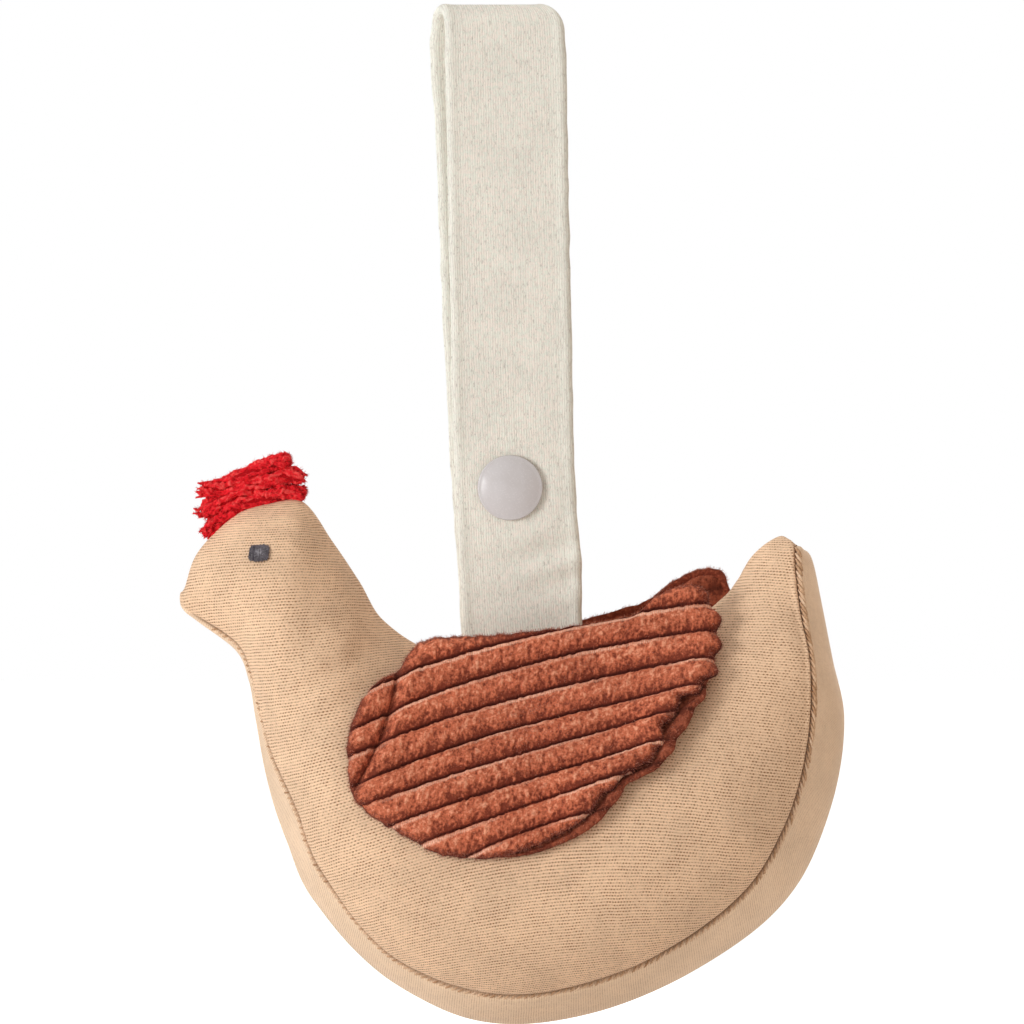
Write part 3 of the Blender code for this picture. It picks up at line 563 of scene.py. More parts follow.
class Shades(Nodes):
    """A material and its nodes."""

    def __init__(self, name, roughness, **uniform):
        self.material = bpy.data.materials.new(name)
        self.material.use_nodes = True
        super().__init__(self.material.node_tree)
        self.shader = self.tree.nodes["Principled BSDF"]
        self.shader.inputs["Roughness"].default_value = roughness
        for key, value in uniform.items():
            socket = key.replace("_", " ").title().replace("Ior", "IOR")
            self.shader.inputs[socket].default_value = value

    def value(self, name):
        return self.node("Attribute", {}, "Fac", attribute_name=name)

    def place(self, name="rest"):
        return self.node("Attribute", {}, "Vector", attribute_name=name)

    def inside(self):
        """Millimetres in the object's own space, for the plain solids."""
        return self.stretched(self.node("TexCoord", {}, "Object"), 1000.0, 1000.0, 1000.0)

    def noise(self, vector, scale, detail=2.0, roughness=0.5):
        sockets = {"Vector": vector, "Scale": scale, "Detail": detail, "Roughness": roughness}
        return self.node("TexNoise", sockets)

    def stretched(self, vector, *scale):
        return self.node("VectorMath", {0: vector, 1: scale}, operation="MULTIPLY")

    def spread(self, value, low, high, to_low=0.0, to_high=1.0):
        sockets = {0: value, 1: low, 2: high, 3: to_low, 4: to_high}
        return self.node("MapRange", sockets, interpolation_type="SMOOTHSTEP")

    def finish(self, colour, height, strength, distance):
        self.plug(colour, self.shader.inputs["Base Color"])
        sockets = {"Height": height, "Strength": strength, "Distance": distance * MM}
        self.plug(self.node("Bump", sockets), self.shader.inputs["Normal"])
        return self.material


def mottled(s, colour, spread, specks, grit=0.06):
    """The colour with soft patches and small specks, as a share of its brightness."""
    patches = s.spread(s.noise(s.place(), 0.09, 3.0, 0.6), 0.3, 0.7, 1.0 - spread, 1.0 + spread)
    shade = s.math("MULTIPLY", patches, s.spread(specks, 0.3, 0.7, 1 - grit, 1 + grit))
    return s.mix(1.0, colour, s.node("CombineColor", {0: shade, 1: shade, 2: shade}), "MULTIPLY")


def knit(name, light, dark, wale, course, relief, spread, grit):
    """Jersey: courses of stitches with small holes between them, each half a stitch on; the holes
    and the lines between courses take the darker colour, painted shade.
    """
    s = Shades(name, 0.92, sheen_weight=0.12, sheen_roughness=0.5, specular_ior_level=0.2)
    u, v = s.split(s.place("weave"))
    wander = s.math("SUBTRACT", s.noise(s.place(), 0.35, 1.0), 0.5)
    u = s.math("MULTIPLY_ADD", wander, 0.6 * wale, u)
    v = s.math("MULTIPLY_ADD", wander, 0.5 * course, v)
    row = s.math("DIVIDE", v, course)
    shift = s.math("MULTIPLY", s.math("FLOOR", row), 0.5)
    stitch = s.math("FRACT", s.math("ADD", s.math("DIVIDE", u, wale), shift))
    beside = s.math("ABSOLUTE", s.math("SUBTRACT", stitch, 0.5))
    above = s.math("ABSOLUTE", s.math("SUBTRACT", s.math("FRACT", row), 0.5))
    wide = s.math("POWER", s.math("DIVIDE", beside, HOLE_HALF[0]), 2.0)
    tall = s.math("POWER", s.math("DIVIDE", above, HOLE_HALF[1]), 2.0)
    hole = s.spread(s.math("ADD", wide, tall), 0.25, 1.3, 1.0, 0.0)
    line = s.spread(above, 0.05, 0.33, 0.36, 0.0)
    fuzz = s.noise(s.place(), 4.0, 3.0, 0.7)
    worn = s.spread(s.noise(s.place(), 0.22, 4.0, 0.7), 0.34, 0.62, 0.66, 1.0)
    uneven = s.spread(s.noise(s.place(), 1.3, 2.0, 0.6), 0.32, 0.62, 0.30, 1.15)
    # Painted shade: the depth that sinks the holes and the lines between courses also darkens them
    depth = s.math("MULTIPLY", s.math("MAXIMUM", s.math("MULTIPLY", hole, uneven), line), worn)
    height = s.math("SUBTRACT", s.math("MULTIPLY", fuzz, 0.3), depth)
    # Painted shade: the knit turns to the shade colour along the seams' grooves and over the tail's
    # tip
    crease = s.math("MULTIPLY", s.value("crease"), 0.8)
    colour = s.mix(crease, s.mix(depth, light, dark), SEAM_SHADE_COLOUR)
    return s.finish(mottled(s, colour, spread, fuzz, grit), height, 0.6, relief)


def ribbed_knit(name, light, other, dark):
    """Fine ribs along the strap, broken up by the loops of the yarn, and paler at both edges; the
    grooves and the gaps between loops take the darker colour, painted shade.
    """
    s = Shades(name, 0.92, sheen_weight=0.15, sheen_roughness=0.5, specular_ior_level=0.2)
    across, _ = s.split(s.place("weave"))
    across = s.math("MULTIPLY_ADD", s.noise(s.place(), 0.5, 2.0), 0.35, across)
    groove = s.math("ABSOLUTE", s.math("COSINE", s.math("MULTIPLY", across, math.pi / STRAP_RIB)))
    loops = s.noise(s.stretched(s.place("weave"), 2.6, 0.85, 1.0), 1.0, 3.0, 0.75)
    runs = s.noise(s.stretched(s.place("weave"), 1.7, 0.30, 1.0), 1.0, 1.0)
    depth = s.math("MULTIPLY", s.spread(groove, 0.55, 1.0), s.spread(loops, 0.38, 0.62, 0.0, 0.9))
    depth = s.math("MAXIMUM", depth, s.spread(loops, 0.32, 0.46, 0.9, 0.0))
    height = s.math("SUBTRACT", s.math("MULTIPLY", loops, 0.6), depth)
    flecks = s.spread(s.noise(s.place(), 1.2, 4.0, 0.75), 0.42, 0.58)
    near_edge = s.spread(s.math("ABSOLUTE", across), *PALE_EDGE, 0.0, 0.6)
    pale = s.mix(near_edge, s.mix(flecks, light, other), other)
    # Painted shade: the grooves and the gaps between loops darken towards the last colour
    colour = s.mix(s.math("MULTIPLY", depth, s.spread(runs, 0.34, 0.66, 0.55, 1.35)), pale, dark)
    return s.finish(mottled(s, colour, 0.035, loops, 0.08), height, 0.6, 0.07)


def corduroy(name, crest, low, valley_shade_colour, weave, tip):
    """Cut pile in ribs: tufts across each rib, and bare weave beside its upper edge; the pile value
    brings painted shade into the valleys and onto the ribs' flanks.
    """
    s = Shades(name, 0.95, sheen_weight=0.3, sheen_roughness=0.45, specular_ior_level=0.15,
               sheen_tint=tip)
    clumps = s.noise(s.stretched(s.place("weave"), 1.35, 1.05, 1.0), 1.0, 2.5, 0.6)
    fine = s.noise(s.place(), 2.1, 3.0, 0.65)
    patches = s.noise(s.place(), 0.12, 2.0)
    strokes = s.noise(s.stretched(s.place("weave"), 1.45, 0.45, 1.0), 1.0, 1.5, 0.5)
    pile = s.value("pile")
    tufts = s.math("MULTIPLY", s.value("tuft"), 0.30)
    tone = s.math("MULTIPLY_ADD", clumps, 0.45, tufts)
    tone = s.math("MULTIPLY_ADD", strokes, 0.25, tone)
    tone = s.math("MULTIPLY_ADD", s.math("SUBTRACT", fine, 0.5), 0.36, tone)
    # Painted light and shade: the ribs' flanks darker, their crests a little lighter
    tone = s.math("MULTIPLY_ADD", s.math("SUBTRACT", pile, 0.86), 0.30, tone)
    colour = s.mix(s.spread(tone, 0.37, 0.55), low, crest)
    colour = s.mix(s.spread(tone, 0.53, 0.70), colour, tip)
    # Painted shade: the colour sinks to the valley shade colour where the pile value is low
    valley_shade = s.spread(s.math("MULTIPLY_ADD", fine, 0.36, pile), 0.22, 0.72)
    colour = s.mix(valley_shade, valley_shade_colour, colour)
    sockets = {"Vector": s.place("weave"), "Scale": 0.75, "Distortion": 1.2, "Detail": 1.0,
               "Detail Scale": 3.0}
    threads = s.node("TexWave", sockets, 1, wave_profile="SIN")
    bare = s.mix(s.spread(threads, 0.2, 0.5), tip, weave)
    shown = s.math("MULTIPLY", s.value("bare"), s.spread(patches, 0.36, 0.56, 0.6, 1.0))
    shown = s.math("MULTIPLY", shown, s.spread(fine, 0.3, 0.6, 0.45, 1.0))
    colour = s.mix(shown, colour, bare)
    height = s.math("MULTIPLY_ADD", fine, 0.8, clumps)
    return s.finish(mottled(s, colour, 0.10, fine, 0.11), height, 0.7, 0.35)


def yarn(name, low, middle, high, sheen):
    """Fuzzy fibre coloured by the tone at each point, which carries painted light and shade on the
    comb and the eyes.
    """
    s = Shades(name, 0.9, sheen_weight=sheen, sheen_roughness=0.5, specular_ior_level=0.2)
    fine = s.noise(s.place(), 2.6, 3.0, 0.7)
    tone = s.math("MULTIPLY_ADD", s.math("SUBTRACT", fine, 0.5), 1.1, s.value("tone"))
    colour = s.mix(s.spread(tone, 0.1, 0.5), low, middle)
    colour = s.mix(s.spread(tone, 0.55, 0.95), colour, high)
    return s.finish(colour, fine, 0.5, 0.2)


def moulded(name, colour, other, roughness):
    """Moulded plastic with a faint flow pattern."""
    s = Shades(name, roughness, specular_ior_level=0.5)
    flow = s.noise(s.inside(), 0.25, 3.0)
    dust = s.noise(s.inside(), 3.0, 2.0)
    uneven = s.spread(dust, 0.2, 0.8, roughness * 0.85, roughness * 1.25)
    s.plug(uneven, s.shader.inputs["Roughness"])
    return s.finish(s.mix(s.spread(flow, 0.3, 0.7), colour, other), dust, 0.06, 0.05)


def filling(name):
    """Loose white fibre."""
    s = Shades(name, 1.0, sheen_weight=0.4, sheen_roughness=0.6, specular_ior_level=0.1)
    tangle = s.noise(s.inside(), 0.5, 6.0, 0.75)
    strands = s.noise(s.stretched(s.inside(), 0.5, 2.6, 0.9), 1.0, 4.0, 0.7)
    colour = s.mix(s.spread(strands, 0.35, 0.65), rgb(214, 211, 203), rgb(242, 240, 235))
    return s.finish(colour, s.math("ADD", tangle, strands), 0.8, 0.6)


# Colour of the painted shade along the seams' grooves
SEAM_SHADE_COLOUR = rgb(128, 88, 58)
# The second colour of each knit is the painted shade in its holes
BODY_KNIT = knit("body_knit", rgb(249, 213, 178), rgb(152, 106, 70), WALE, COURSE, 0.15, 0.07, 0.11)
# The gusset's knit is paler than the body's: painted light on the underside
GUSSET_KNIT = knit("gusset_knit", rgb(252, 222, 190), rgb(214, 176, 142), GUSSET_WALE,
                   GUSSET_COURSE, 0.06, 0.05, 0.06)
STRAP_KNIT = ribbed_knit("strap_knit", rgb(255, 247, 236), rgb(246, 247, 235), rgb(220, 213, 202))
# Each corduroy's third colour is the painted shade in the valleys
CORDUROY = corduroy("corduroy", rgb(208, 114, 82), rgb(130, 61, 44), rgb(78, 33, 27),
                    rgb(255, 206, 180), rgb(244, 168, 134))
# The inner layer's corduroy is the outer's in darker colours: painted shade on the side that faces
# the hen
LINING = corduroy("corduroy_inner_shaded", rgb(164, 88, 64), rgb(118, 58, 42), rgb(70, 32, 24),
                  rgb(180, 108, 84), rgb(190, 112, 86))
COMB = yarn("comb_yarn", rgb(184, 4, 18), rgb(244, 34, 46), rgb(255, 86, 84), 0.04)
EYE_THREAD = yarn("eye_thread", rgb(70, 67, 76), rgb(112, 106, 112), rgb(180, 176, 182), 0.1)
SEAM_THREAD = yarn("seam_thread", rgb(190, 148, 112), rgb(226, 188, 152), rgb(248, 218, 188), 0.05)
WING_FUZZ = yarn("wing_fuzz", rgb(140, 70, 50), rgb(192, 106, 78), rgb(226, 150, 122), 0.2)
SNAP = moulded("snap_plastic", rgb(216, 212, 213), rgb(210, 205, 205), 0.24)
CAPSULE = moulded("capsule_plastic", rgb(226, 223, 216), rgb(218, 214, 206), 0.4)
BEAD = moulded("bead_plastic", rgb(202, 60, 62), rgb(190, 48, 52), 0.25)
FIBRE = filling("filling")


# The hen's surface


def station_rows(p):
    return along(STATIONS, np.clip(p, 0, LAST))


def hen_points(p, s, inset=0.0):
    """Points of the hen's left or right half with Y as a distance, at positions p and shares s."""
    p, s = np.broadcast_arrays(np.asarray(p, float), np.asarray(s, float))
    row = station_rows(p)
    ridge = row[..., 0:2]
    down = row[..., 2:4] - ridge
    height = np.linalg.norm(down, axis=-1)
    top = np.minimum(RIDGE_STEEPNESS * inset / height, MOST_INSET)
    bottom = np.minimum(inset / height, MOST_INSET)
    half = np.maximum(row[..., 4] - inset, LEAST_CORE * row[..., 4])
    s = np.clip(s, 0.0, 1.0)
    centre = ridge + down * (top + s * (1 - top - bottom))[..., None]
    bulge = (s / WIDEST) ** RIDGE_POWER * ((1 - s) / (1 - WIDEST)) ** KEEL_POWER
    return stacked(centre[..., 0], half * bulge, centre[..., 1])


def half_width_at(x, z):
    """Half width of the hen at points of its side view, or 0 outside it."""
    low = np.zeros_like(x)
    high = np.full_like(x, LAST)
    for _ in range(HALVINGS):
        middle = (low + high) / 2
        row = station_rows(middle)
        down_x, down_z = row[..., 2] - row[..., 0], row[..., 3] - row[..., 1]
        side = down_z * (x - row[..., 0]) - down_x * (z - row[..., 1])
        low = np.where(side < 0, middle, low)
        high = np.where(side < 0, high, middle)
    row = station_rows(low)
    down = row[..., 2:4] - row[..., 0:2]
    across = stacked(x, z) - row[..., 0:2]
    share = (across * down).sum(-1) / (down * down).sum(-1)
    inside = (share > 0) & (share < 1)
    return np.where(inside, hen_points(low, np.clip(share, 0.001, 0.999))[..., 1], 0.0)


def seam_share(p):
    return np.clip(station_rows(p)[..., 5], 0.3, 0.97)


def shares_at(p, start, end, fractions):
    """Shares at the given fractions of the way along the surface from start to end."""
    steps = (1 - np.cos(np.linspace(0, math.pi, PATH_POINTS))) / 2
    shares = start[:, None] + (end - start)[:, None] * steps
    lengths = lengths_along(hen_points(p[:, None], shares))
    rows = [np.interp(fractions * line[-1], line, share) for line, share in zip(lengths, shares)]
    return np.array(rows), lengths[:, -1]


def panel_shares(p, fractions):
    return shares_at(p, np.zeros(len(p)), seam_share(p), fractions)


def gusset_shares(p, fractions):
    return shares_at(p, seam_share(p), np.ones(len(p)), fractions)


def with_tips(grid):
    """Rows added at the beak and tail that round the open ends off."""
    rows = [grid]
    for end, inward, radius in ((0, 0.4, BEAK_ROUND), (LAST, -0.4, TAIL_ROUND)):
        near = station_rows(np.array([end, end + inward], float))
        middle = (near[:, 0:2] + near[:, 2:4]) / 2
        outward = unit(middle[0] - middle[1])
        centre = np.array((middle[0][0], 0.0, middle[0][1]))
        push = np.array((outward[0], 0.0, outward[1])) * radius
        last = grid[-1 if end else 0]
        ends = [centre + (last - centre) * math.cos(turn) + push * math.sin(turn)
                for turn in TIP_TURNS]
        rows = rows + [np.array(ends)] if end else [np.array(ends[::-1])] + rows
    return np.concatenate(rows)


def coarse_skin():
    """Rings of the whole skin: left panel down, gusset across, right panel up."""
    p = COARSE_STATIONS
    side = hen_points(p[:, None], panel_shares(p, np.linspace(0, 1, PANEL_PARTS + 1))[0])
    under = hen_points(p[:, None], gusset_shares(p, np.linspace(0, 1, GUSSET_PARTS // 2 + 1))[0])
    mirror = np.array((1, -1, 1))
    return side, np.concatenate(
        [side * mirror, (under * mirror)[:, 1:], under[:, -2::-1], side[:, -2:0:-1]], axis=1
    )


def puffed():
    """How far a cloth run under pressure, held at its seams, moves each point of the skin."""
    side, rings = coarse_skin()
    rows, columns = rings.shape[:2]
    index = np.arange(rows * columns).reshape(rows, columns)
    around = grid_faces(index, True)
    mesh = bpy.data.meshes.new("cloth")
    faces = around.tolist() + [index[0].tolist(), index[-1, ::-1].tolist()]
    mesh.from_pydata((rings.reshape(-1, 3) * CLOTH_SCALE).tolist(), [], faces)
    if volume(rings.reshape(-1, 3)[around]) < 0:
        mesh.flip_normals()
    cloth_piece = new_object("cloth", mesh)
    held = cloth_piece.vertex_groups.new(name="held")
    seams = index[:, [0, PANEL_PARTS, PANEL_PARTS + GUSSET_PARTS]]
    ends = index[[0, 1, -2, -1]]
    held.add(np.concatenate([seams.ravel(), ends.ravel()]).tolist(), 1.0, "REPLACE")
    cloth = cloth_piece.modifiers.new("cloth", "CLOTH").settings
    for key, value in CLOTH.items():
        setattr(cloth, key, value)
    cloth.effector_weights.gravity = 0
    for number in range(1, CLOTH_FRAMES + 1):
        bpy.context.scene.frame_set(number)
    shown = cloth_piece.evaluated_get(bpy.context.evaluated_depsgraph_get()).to_mesh()
    places = np.zeros(len(shown.vertices) * 3, np.float32)
    shown.vertices.foreach_get("co", places)
    moved = places.reshape(rings.shape) / CLOTH_SCALE - rings
    bpy.data.objects.remove(cloth_piece)
    bpy.context.scene.frame_set(1)
    far = np.linalg.norm(moved, axis=-1, keepdims=True)
    moved = moved * np.minimum(1, MOST_PUFF / np.maximum(far, 1e-6))
    for _ in range(PUFF_SMOOTHINGS):
        moved[1:-1] = (moved[:-2] + 2 * moved[1:-1] + moved[2:]) / 4
    return side, moved


def knitted(grid):
    """Places in the knit, along and across its courses, at points of a side panel."""
    rows, columns = grid.shape[:2]
    normal = grid_normals(grid)
    normal = normal * np.where(normal[..., 1:2] < 0, -1, 1)
    away = grid[..., None, [0, 2]] - COURSE_TILTS[:, :2]
    near = np.exp(-(away ** 2).sum(-1) / (2 * COURSE_REACH ** 2)) + 1e-9
    tilt = np.radians((near * COURSE_TILTS[:, 2]).sum(-1) / near.sum(-1))
    level = stacked(-np.sin(tilt), 0.0, np.cos(tilt))
    up = level - normal * (level * normal).sum(-1, keepdims=True)
    trust = np.linalg.norm(up, axis=-1).ravel() + 0.05
    up = unit(up).reshape(-1, 3)
    onward = np.cross(normal.reshape(-1, 3), up)
    points = grid.reshape(-1, 3)
    index = np.arange(rows * columns).reshape(rows, columns)
    start = np.concatenate([index[:-1].ravel(), index[:, :-1].ravel()])
    end = np.concatenate([index[1:].ravel(), index[:, 1:].ravel()])
    edge = points[end] - points[start]
    weight = trust[start] * trust[end] / np.maximum((edge ** 2).sum(-1), 0.01)
    sums = np.zeros((rows * columns, rows * columns))
    for one, other in ((start, end), (end, start)):
        np.add.at(sums, (one, one), weight)
        np.add.at(sums, (one, other), -weight)
    sums[0, 0] += 1
    right = np.zeros((rows * columns, 2))
    for column, ways in enumerate((onward, up)):
        step = weight * ((ways[start] + ways[end]) / 2 * edge).sum(-1)
        np.add.at(right[:, column], end, step)
        np.subtract.at(right[:, column], start, step)
    return np.linalg.solve(sums, right).reshape(rows, columns, 2)


def even_ends(count, pinch):
    """Fractions from 0 to 1, closer together at both ends."""
    t = np.linspace(0, 1, count)
    return t - pinch * np.sin(TAU * t) / TAU


def seam_relief(distance, depth, shape):
    """A pinched seam with a soft welt beside it."""
    width, welt, welt_at, welt_width = shape
    return welt * hump(distance - welt_at, welt_width) - depth * hump(distance, width)


def outward_normals(points):
    normal = grid_normals(points)
    return normal * np.sign((normal * (points - BODY_MIDDLE)).sum(-1).mean())


def skin_piece(name, points, inner, weave, crease, node, material):
    """A closed piece of the hen's knit, with its weave and painted seam shade carried on over the
    tips.
    """
    outer = with_tips(points)
    more = len(TIP_TURNS)
    weave = np.pad(weave, ((more, more), (0, 0), (0, 0)), mode="edge")
    ends = np.ones((more, crease.shape[1]))
    crease = np.concatenate([ends * 0, crease, ends * TAIL_SHADE])
    piece = make_piece(name, [outer, with_tips(inner)], shell_faces(*outer.shape[:2]), material,
                       weave=[weave, weave], crease=[crease, crease])
    declared(piece, [node], "hen")


def add_panel(word, turn, p, push, weave, groove, faded):
    """One side of the hen, wrinkled at the neck; gives its edge along the gusset's seam."""
    fractions = PANEL_FRACTIONS
    shares, reach = panel_shares(p, fractions)
    base = hen_points(p[:, None], shares)
    inner = hen_points(p[:, None], shares, SKIN)
    inner[..., 1] = np.maximum(inner[..., 1], 0.1)
    from_ridge = reach[:, None] * fractions
    from_seam = reach[:, None] * (1 - fractions)
    sides = np.array((1, turn, 1))
    seed = 20 + turn
    way = lengths_along(base[:, -1])[:, None]
    pucker = 1 + PUCKER * grain(way / PUCKER_PITCH, from_seam * 0, seed)
    out = seam_relief(from_seam, groove, PANEL_SEAM) * pucker
    out += seam_relief(from_ridge, RIDGE_DEPTH, RIDGE_SEAM)
    x, z = base[..., 0], base[..., 2]
    out += 0.20 * grain(x / 15 + 9, z / 13, seed) + 0.05 * grain(x / 5.5, z / 5, seed + 7)
    wrinkles = np.sin((z - 0.55 * x) / 4.6 * math.pi + 1.5 * grain(x / 9, z / 9, seed + 9))
    out += 0.24 * wrinkles * hump(x + 37, 9) * hump(z + 4, 9)
    out *= smooth_step(reach / 14)[:, None]
    points = base * sides + push + outward_normals(base * sides) * out[..., None]
    # Painted shade along the groove of the seam with the gusset
    skin_piece("hen_side_" + word, points, inner * sides, weave, hump(from_seam, 0.5) * faded,
               "side_panel_" + word, BODY_KNIT)
    return points[:, -1]


def add_gusset(p, push, across, groove, faded, edges):
    """The band under the chin, belly and rump, joined to both panels' edges."""
    half = (len(across) + 1) // 2
    shares, reach = gusset_shares(p, 2 * across[:half])
    shares = np.concatenate([shares, shares[:, -2::-1]], axis=1)
    turns = np.where(np.arange(len(across)) < half, -1.0, 1.0)
    sides = stacked(1, turns, 1)
    base = hen_points(p[:, None], shares) * sides
    from_seam = 2 * reach[:, None] * np.minimum(across, 1 - across)
    way = lengths_along(base[:, half - 1])[:, None]
    pucker = 1 + PUCKER * grain(way / PUCKER_PITCH, turns * 5.5 + 9, 31)
    out = seam_relief(from_seam, groove, GUSSET_SEAM) * pucker
    out += 0.14 * grain(way / 9, across * 3, 32)
    out *= smooth_step(reach / 5)[:, None]
    points = base + push + outward_normals(base) * out[..., None]
    points[:, 0], points[:, -1] = edges
    weave = stacked((across - 0.5) * 2 * reach[:, None], way, 0.0)
    # Painted shade along the grooves of both seams
    skin_piece("hen_gusset", points, hen_points(p[:, None], shares, SKIN) * sides, weave,
               hump(from_seam, 0.4) * faded, "gusset", GUSSET_KNIT)


PANEL_FRACTIONS = even_ends(PANEL_COLUMNS, PANEL_PINCH)


def add_body():
    """The hen's two side panels and its gusset, puffed out, with pinched seams."""
    side, moved = puffed()
    p = np.linspace(0, LAST, BODY_ROWS)
    rows_at = p * (len(COARSE_STATIONS) - 1) / LAST
    weave = resample(knitted(side), rows_at, PANEL_FRACTIONS * PANEL_PARTS)
    weave = stacked(weave[..., 0], weave[..., 1], 0.0)
    faded = (smooth_step((p - 1) / 1.5) * smooth_step((LAST - p) / 1.2))[:, None]
    throat = smooth_step((p - THROAT[0]) / THROAT_FADE) * smooth_step((THROAT[1] - p) / THROAT_FADE)
    groove = (SEAM_DEPTH * (1 - THROAT_RELIEF * throat))[:, None]
    last = PANEL_PARTS + GUSSET_PARTS
    down_left = list(range(PANEL_PARTS + 1))
    down_right = [0] + list(range(moved.shape[1] - 1, last - 1, -1))
    edges = []
    for word, turn, order in (("left", -1, down_left), ("right", 1, down_right)):
        push = resample(moved[:, order], rows_at, PANEL_FRACTIONS * PANEL_PARTS)
        edges.append(add_panel(word, turn, p, push, weave, groove, faded))
    halves = even_ends(GUSSET_COLUMNS, GUSSET_PINCH) / 2
    across = np.concatenate([halves, 1 - halves[-2::-1]])
    push = resample(moved[:, PANEL_PARTS:last + 1], rows_at, across * GUSSET_PARTS)
    add_gusset(p, push, across, groove, faded, edges)


def add_seam_stitches():
    """Small slanted stitches across the groove between each side panel and the gusset."""
    p = np.linspace(2.2, LAST - 0.9, SEAM_POINTS)
    seam = seam_share(p)
    edge = hen_points(p, seam)
    panel = hen_points(p, seam - 0.012)
    under = hen_points(p, np.minimum(seam + 0.012, 0.995))
    way = lengths_along(edge)
    places = np.arange(2.0, way[-1] - 1.0, SEAM_STITCH_PITCH)
    at = np.interp(places, way, np.arange(len(p)))
    centre, above, below = (along(line, at) for line in (edge, panel, under))
    forward = unit(along(np.gradient(edge, axis=0), at))
    up = unit(above - centre)
    down = unit(below - centre)
    normal = unit(np.cross(forward, unit(above - below)))
    normal *= np.sign(normal[:, 1:2])
    stitches = Bundle()
    chance = np.random.RandomState(5)
    t = np.linspace(0, 1, SEAM_STITCH_POINTS)[:, None]
    for turn in (-1, 1):
        for k in range(len(places)):
            bold = smooth_step((p[int(at[k])] - LAST + 7) / 3)
            reach = 0.70 + 0.35 * bold + chance.uniform(-0.10, 0.16)
            slant = forward[k] * (0.55 + chance.uniform(-0.10, 0.10))
            start = centre[k] + up[k] * 0.12 + slant
            end = centre[k] + down[k] * 1.5 * reach - slant
            rise = (0.28 + 0.16 * bold) * np.sin(2.4 * t) - 0.14
            line = (start + (end - start) * t + normal[k] * rise) * np.array((1, turn, 1))
            width = (0.18 + 0.13 * bold) * np.sin(np.linspace(0.40, math.pi - 0.40, len(t)))
            stitches.add_tube(tube(line, width, 6), chance.uniform(0.1, 0.8))
    declared(stitches.make("seam_stitches", SEAM_THREAD), body="hen")


# Strap and snap


def flat_share(drop):
    """How far a leg has come from the fold's width to the snap's, at a depth below the fold."""
    return smooth_step((drop - FOLD_INNER_RADIUS) / (FLAT_FROM_DROP - FOLD_INNER_RADIUS))


def front_leg(drop):
    """Middle of the long leg at a depth below the fold."""
    share = np.clip(drop, 0.0, STRAP_DROP) / STRAP_DROP
    x = STRAP_LEAN * (STRAP_DRIFT * share + (1 - STRAP_DRIFT) * share ** 6)
    return stacked(x, -FOLD_RADIUS * (1 - flat_share(drop)), -drop)


def back_leg(drop):
    """Middle of the loose end, skewed at the fold and tucked in below the snap."""
    tuck_from = SNAP_DROP + SNAP_BODY_RADIUS
    y = FOLD_RADIUS + (SNAP_SPREAD - FOLD_RADIUS) * flat_share(drop)
    y -= LOOSE_END_TUCK * smooth_step((drop - tuck_from) / (LOOSE_END_DROP - tuck_from))
    skew = FOLD_SKEW * np.maximum(1 - (drop / LOOSE_END_DROP) ** 1.5, 0.0)
    return stacked(front_leg(drop)[..., 0] - skew, y, -drop)


def fold_arc(turn):
    """Middle of the band round the fold, by its angle from the front."""
    drop = np.array(FOLD_INNER_RADIUS)
    start, end = front_leg(drop)[0], back_leg(drop)[0]
    x = start + (end - start) * smooth_step(turn / math.pi)
    z = -FOLD_INNER_RADIUS + FOLD_RADIUS * np.sin(turn)
    return stacked(x, -FOLD_RADIUS * np.cos(turn), z)


def band_piece(name, line, crest_at, ripple, nodes):
    """Closed knitted band along a line that crosses the fold's crest, ribbed lengthwise."""
    corner = np.radians(np.linspace(0, 90, 7))
    flat_half = STRAP_HALF_WIDTH - STRAP_CORNER
    flat = np.linspace(-1, 1, STRAP_COLUMNS) * flat_half
    x = np.concatenate([-flat_half - np.sin(corner[:0:-1]), flat, flat_half + np.sin(corner[1:])])
    level = np.concatenate([np.cos(corner[:0:-1]), flat * 0 + 1, np.cos(corner[1:])])
    roll = EDGE_ROLL * hump((np.abs(x) - STRAP_HALF_WIDTH + 1.3), 0.8)
    rib = STRAP_RIB_HEIGHT * np.cos(TAU * x / STRAP_RIB) * (np.abs(x) < flat_half)
    thick = level * (STRAP_HALF_THICKNESS + rib) + roll * level
    across = np.concatenate([x, x[-2:0:-1]])
    offset = np.concatenate([thick, -thick[-2:0:-1]])
    way = lengths_along(line)
    forward = unit(np.gradient(line, axis=0))
    normal = unit(np.cross(forward, np.array((1.0, 0, 0))))
    share = across[None, :] / STRAP_HALF_WIDTH
    drop = -line[:, 2][:, None]
    from_crest = np.hypot(way - way[crest_at], 1.0)[:, None] - 1.0
    drawn_in = CREST_TRIM * np.exp(-from_crest / CREST_TRIM_REACH)
    bulge = 0.6 * hump(drop - FOLDS_DROP, 9)
    points = np.repeat(line[:, None], len(across), axis=1)
    points[..., 0] += across + (bulge - drawn_in) * np.clip(share, 0, 1) ** 1.3
    points[..., 0] -= 0.5 * hump(drop - 8, 9) * np.clip(-share, 0, 1) ** 2 * (line[:, 1:2] > 0)
    edges = grain(way[:, None] / 3.1, share * 3 + 20, 43) * 0.13 * np.abs(share) ** 4
    points[..., 0] += edges * np.sign(share)
    points += normal[:, None] * (offset + ripple(drop, across[None, :]))[..., None]
    piece = make_piece(name, points, tube_faces(*points.shape[:2]), STRAP_KNIT, origin=np.zeros(3),
                       weave=stacked(across, way[:, None], 0.0))
    declared(piece, nodes)
    return piece


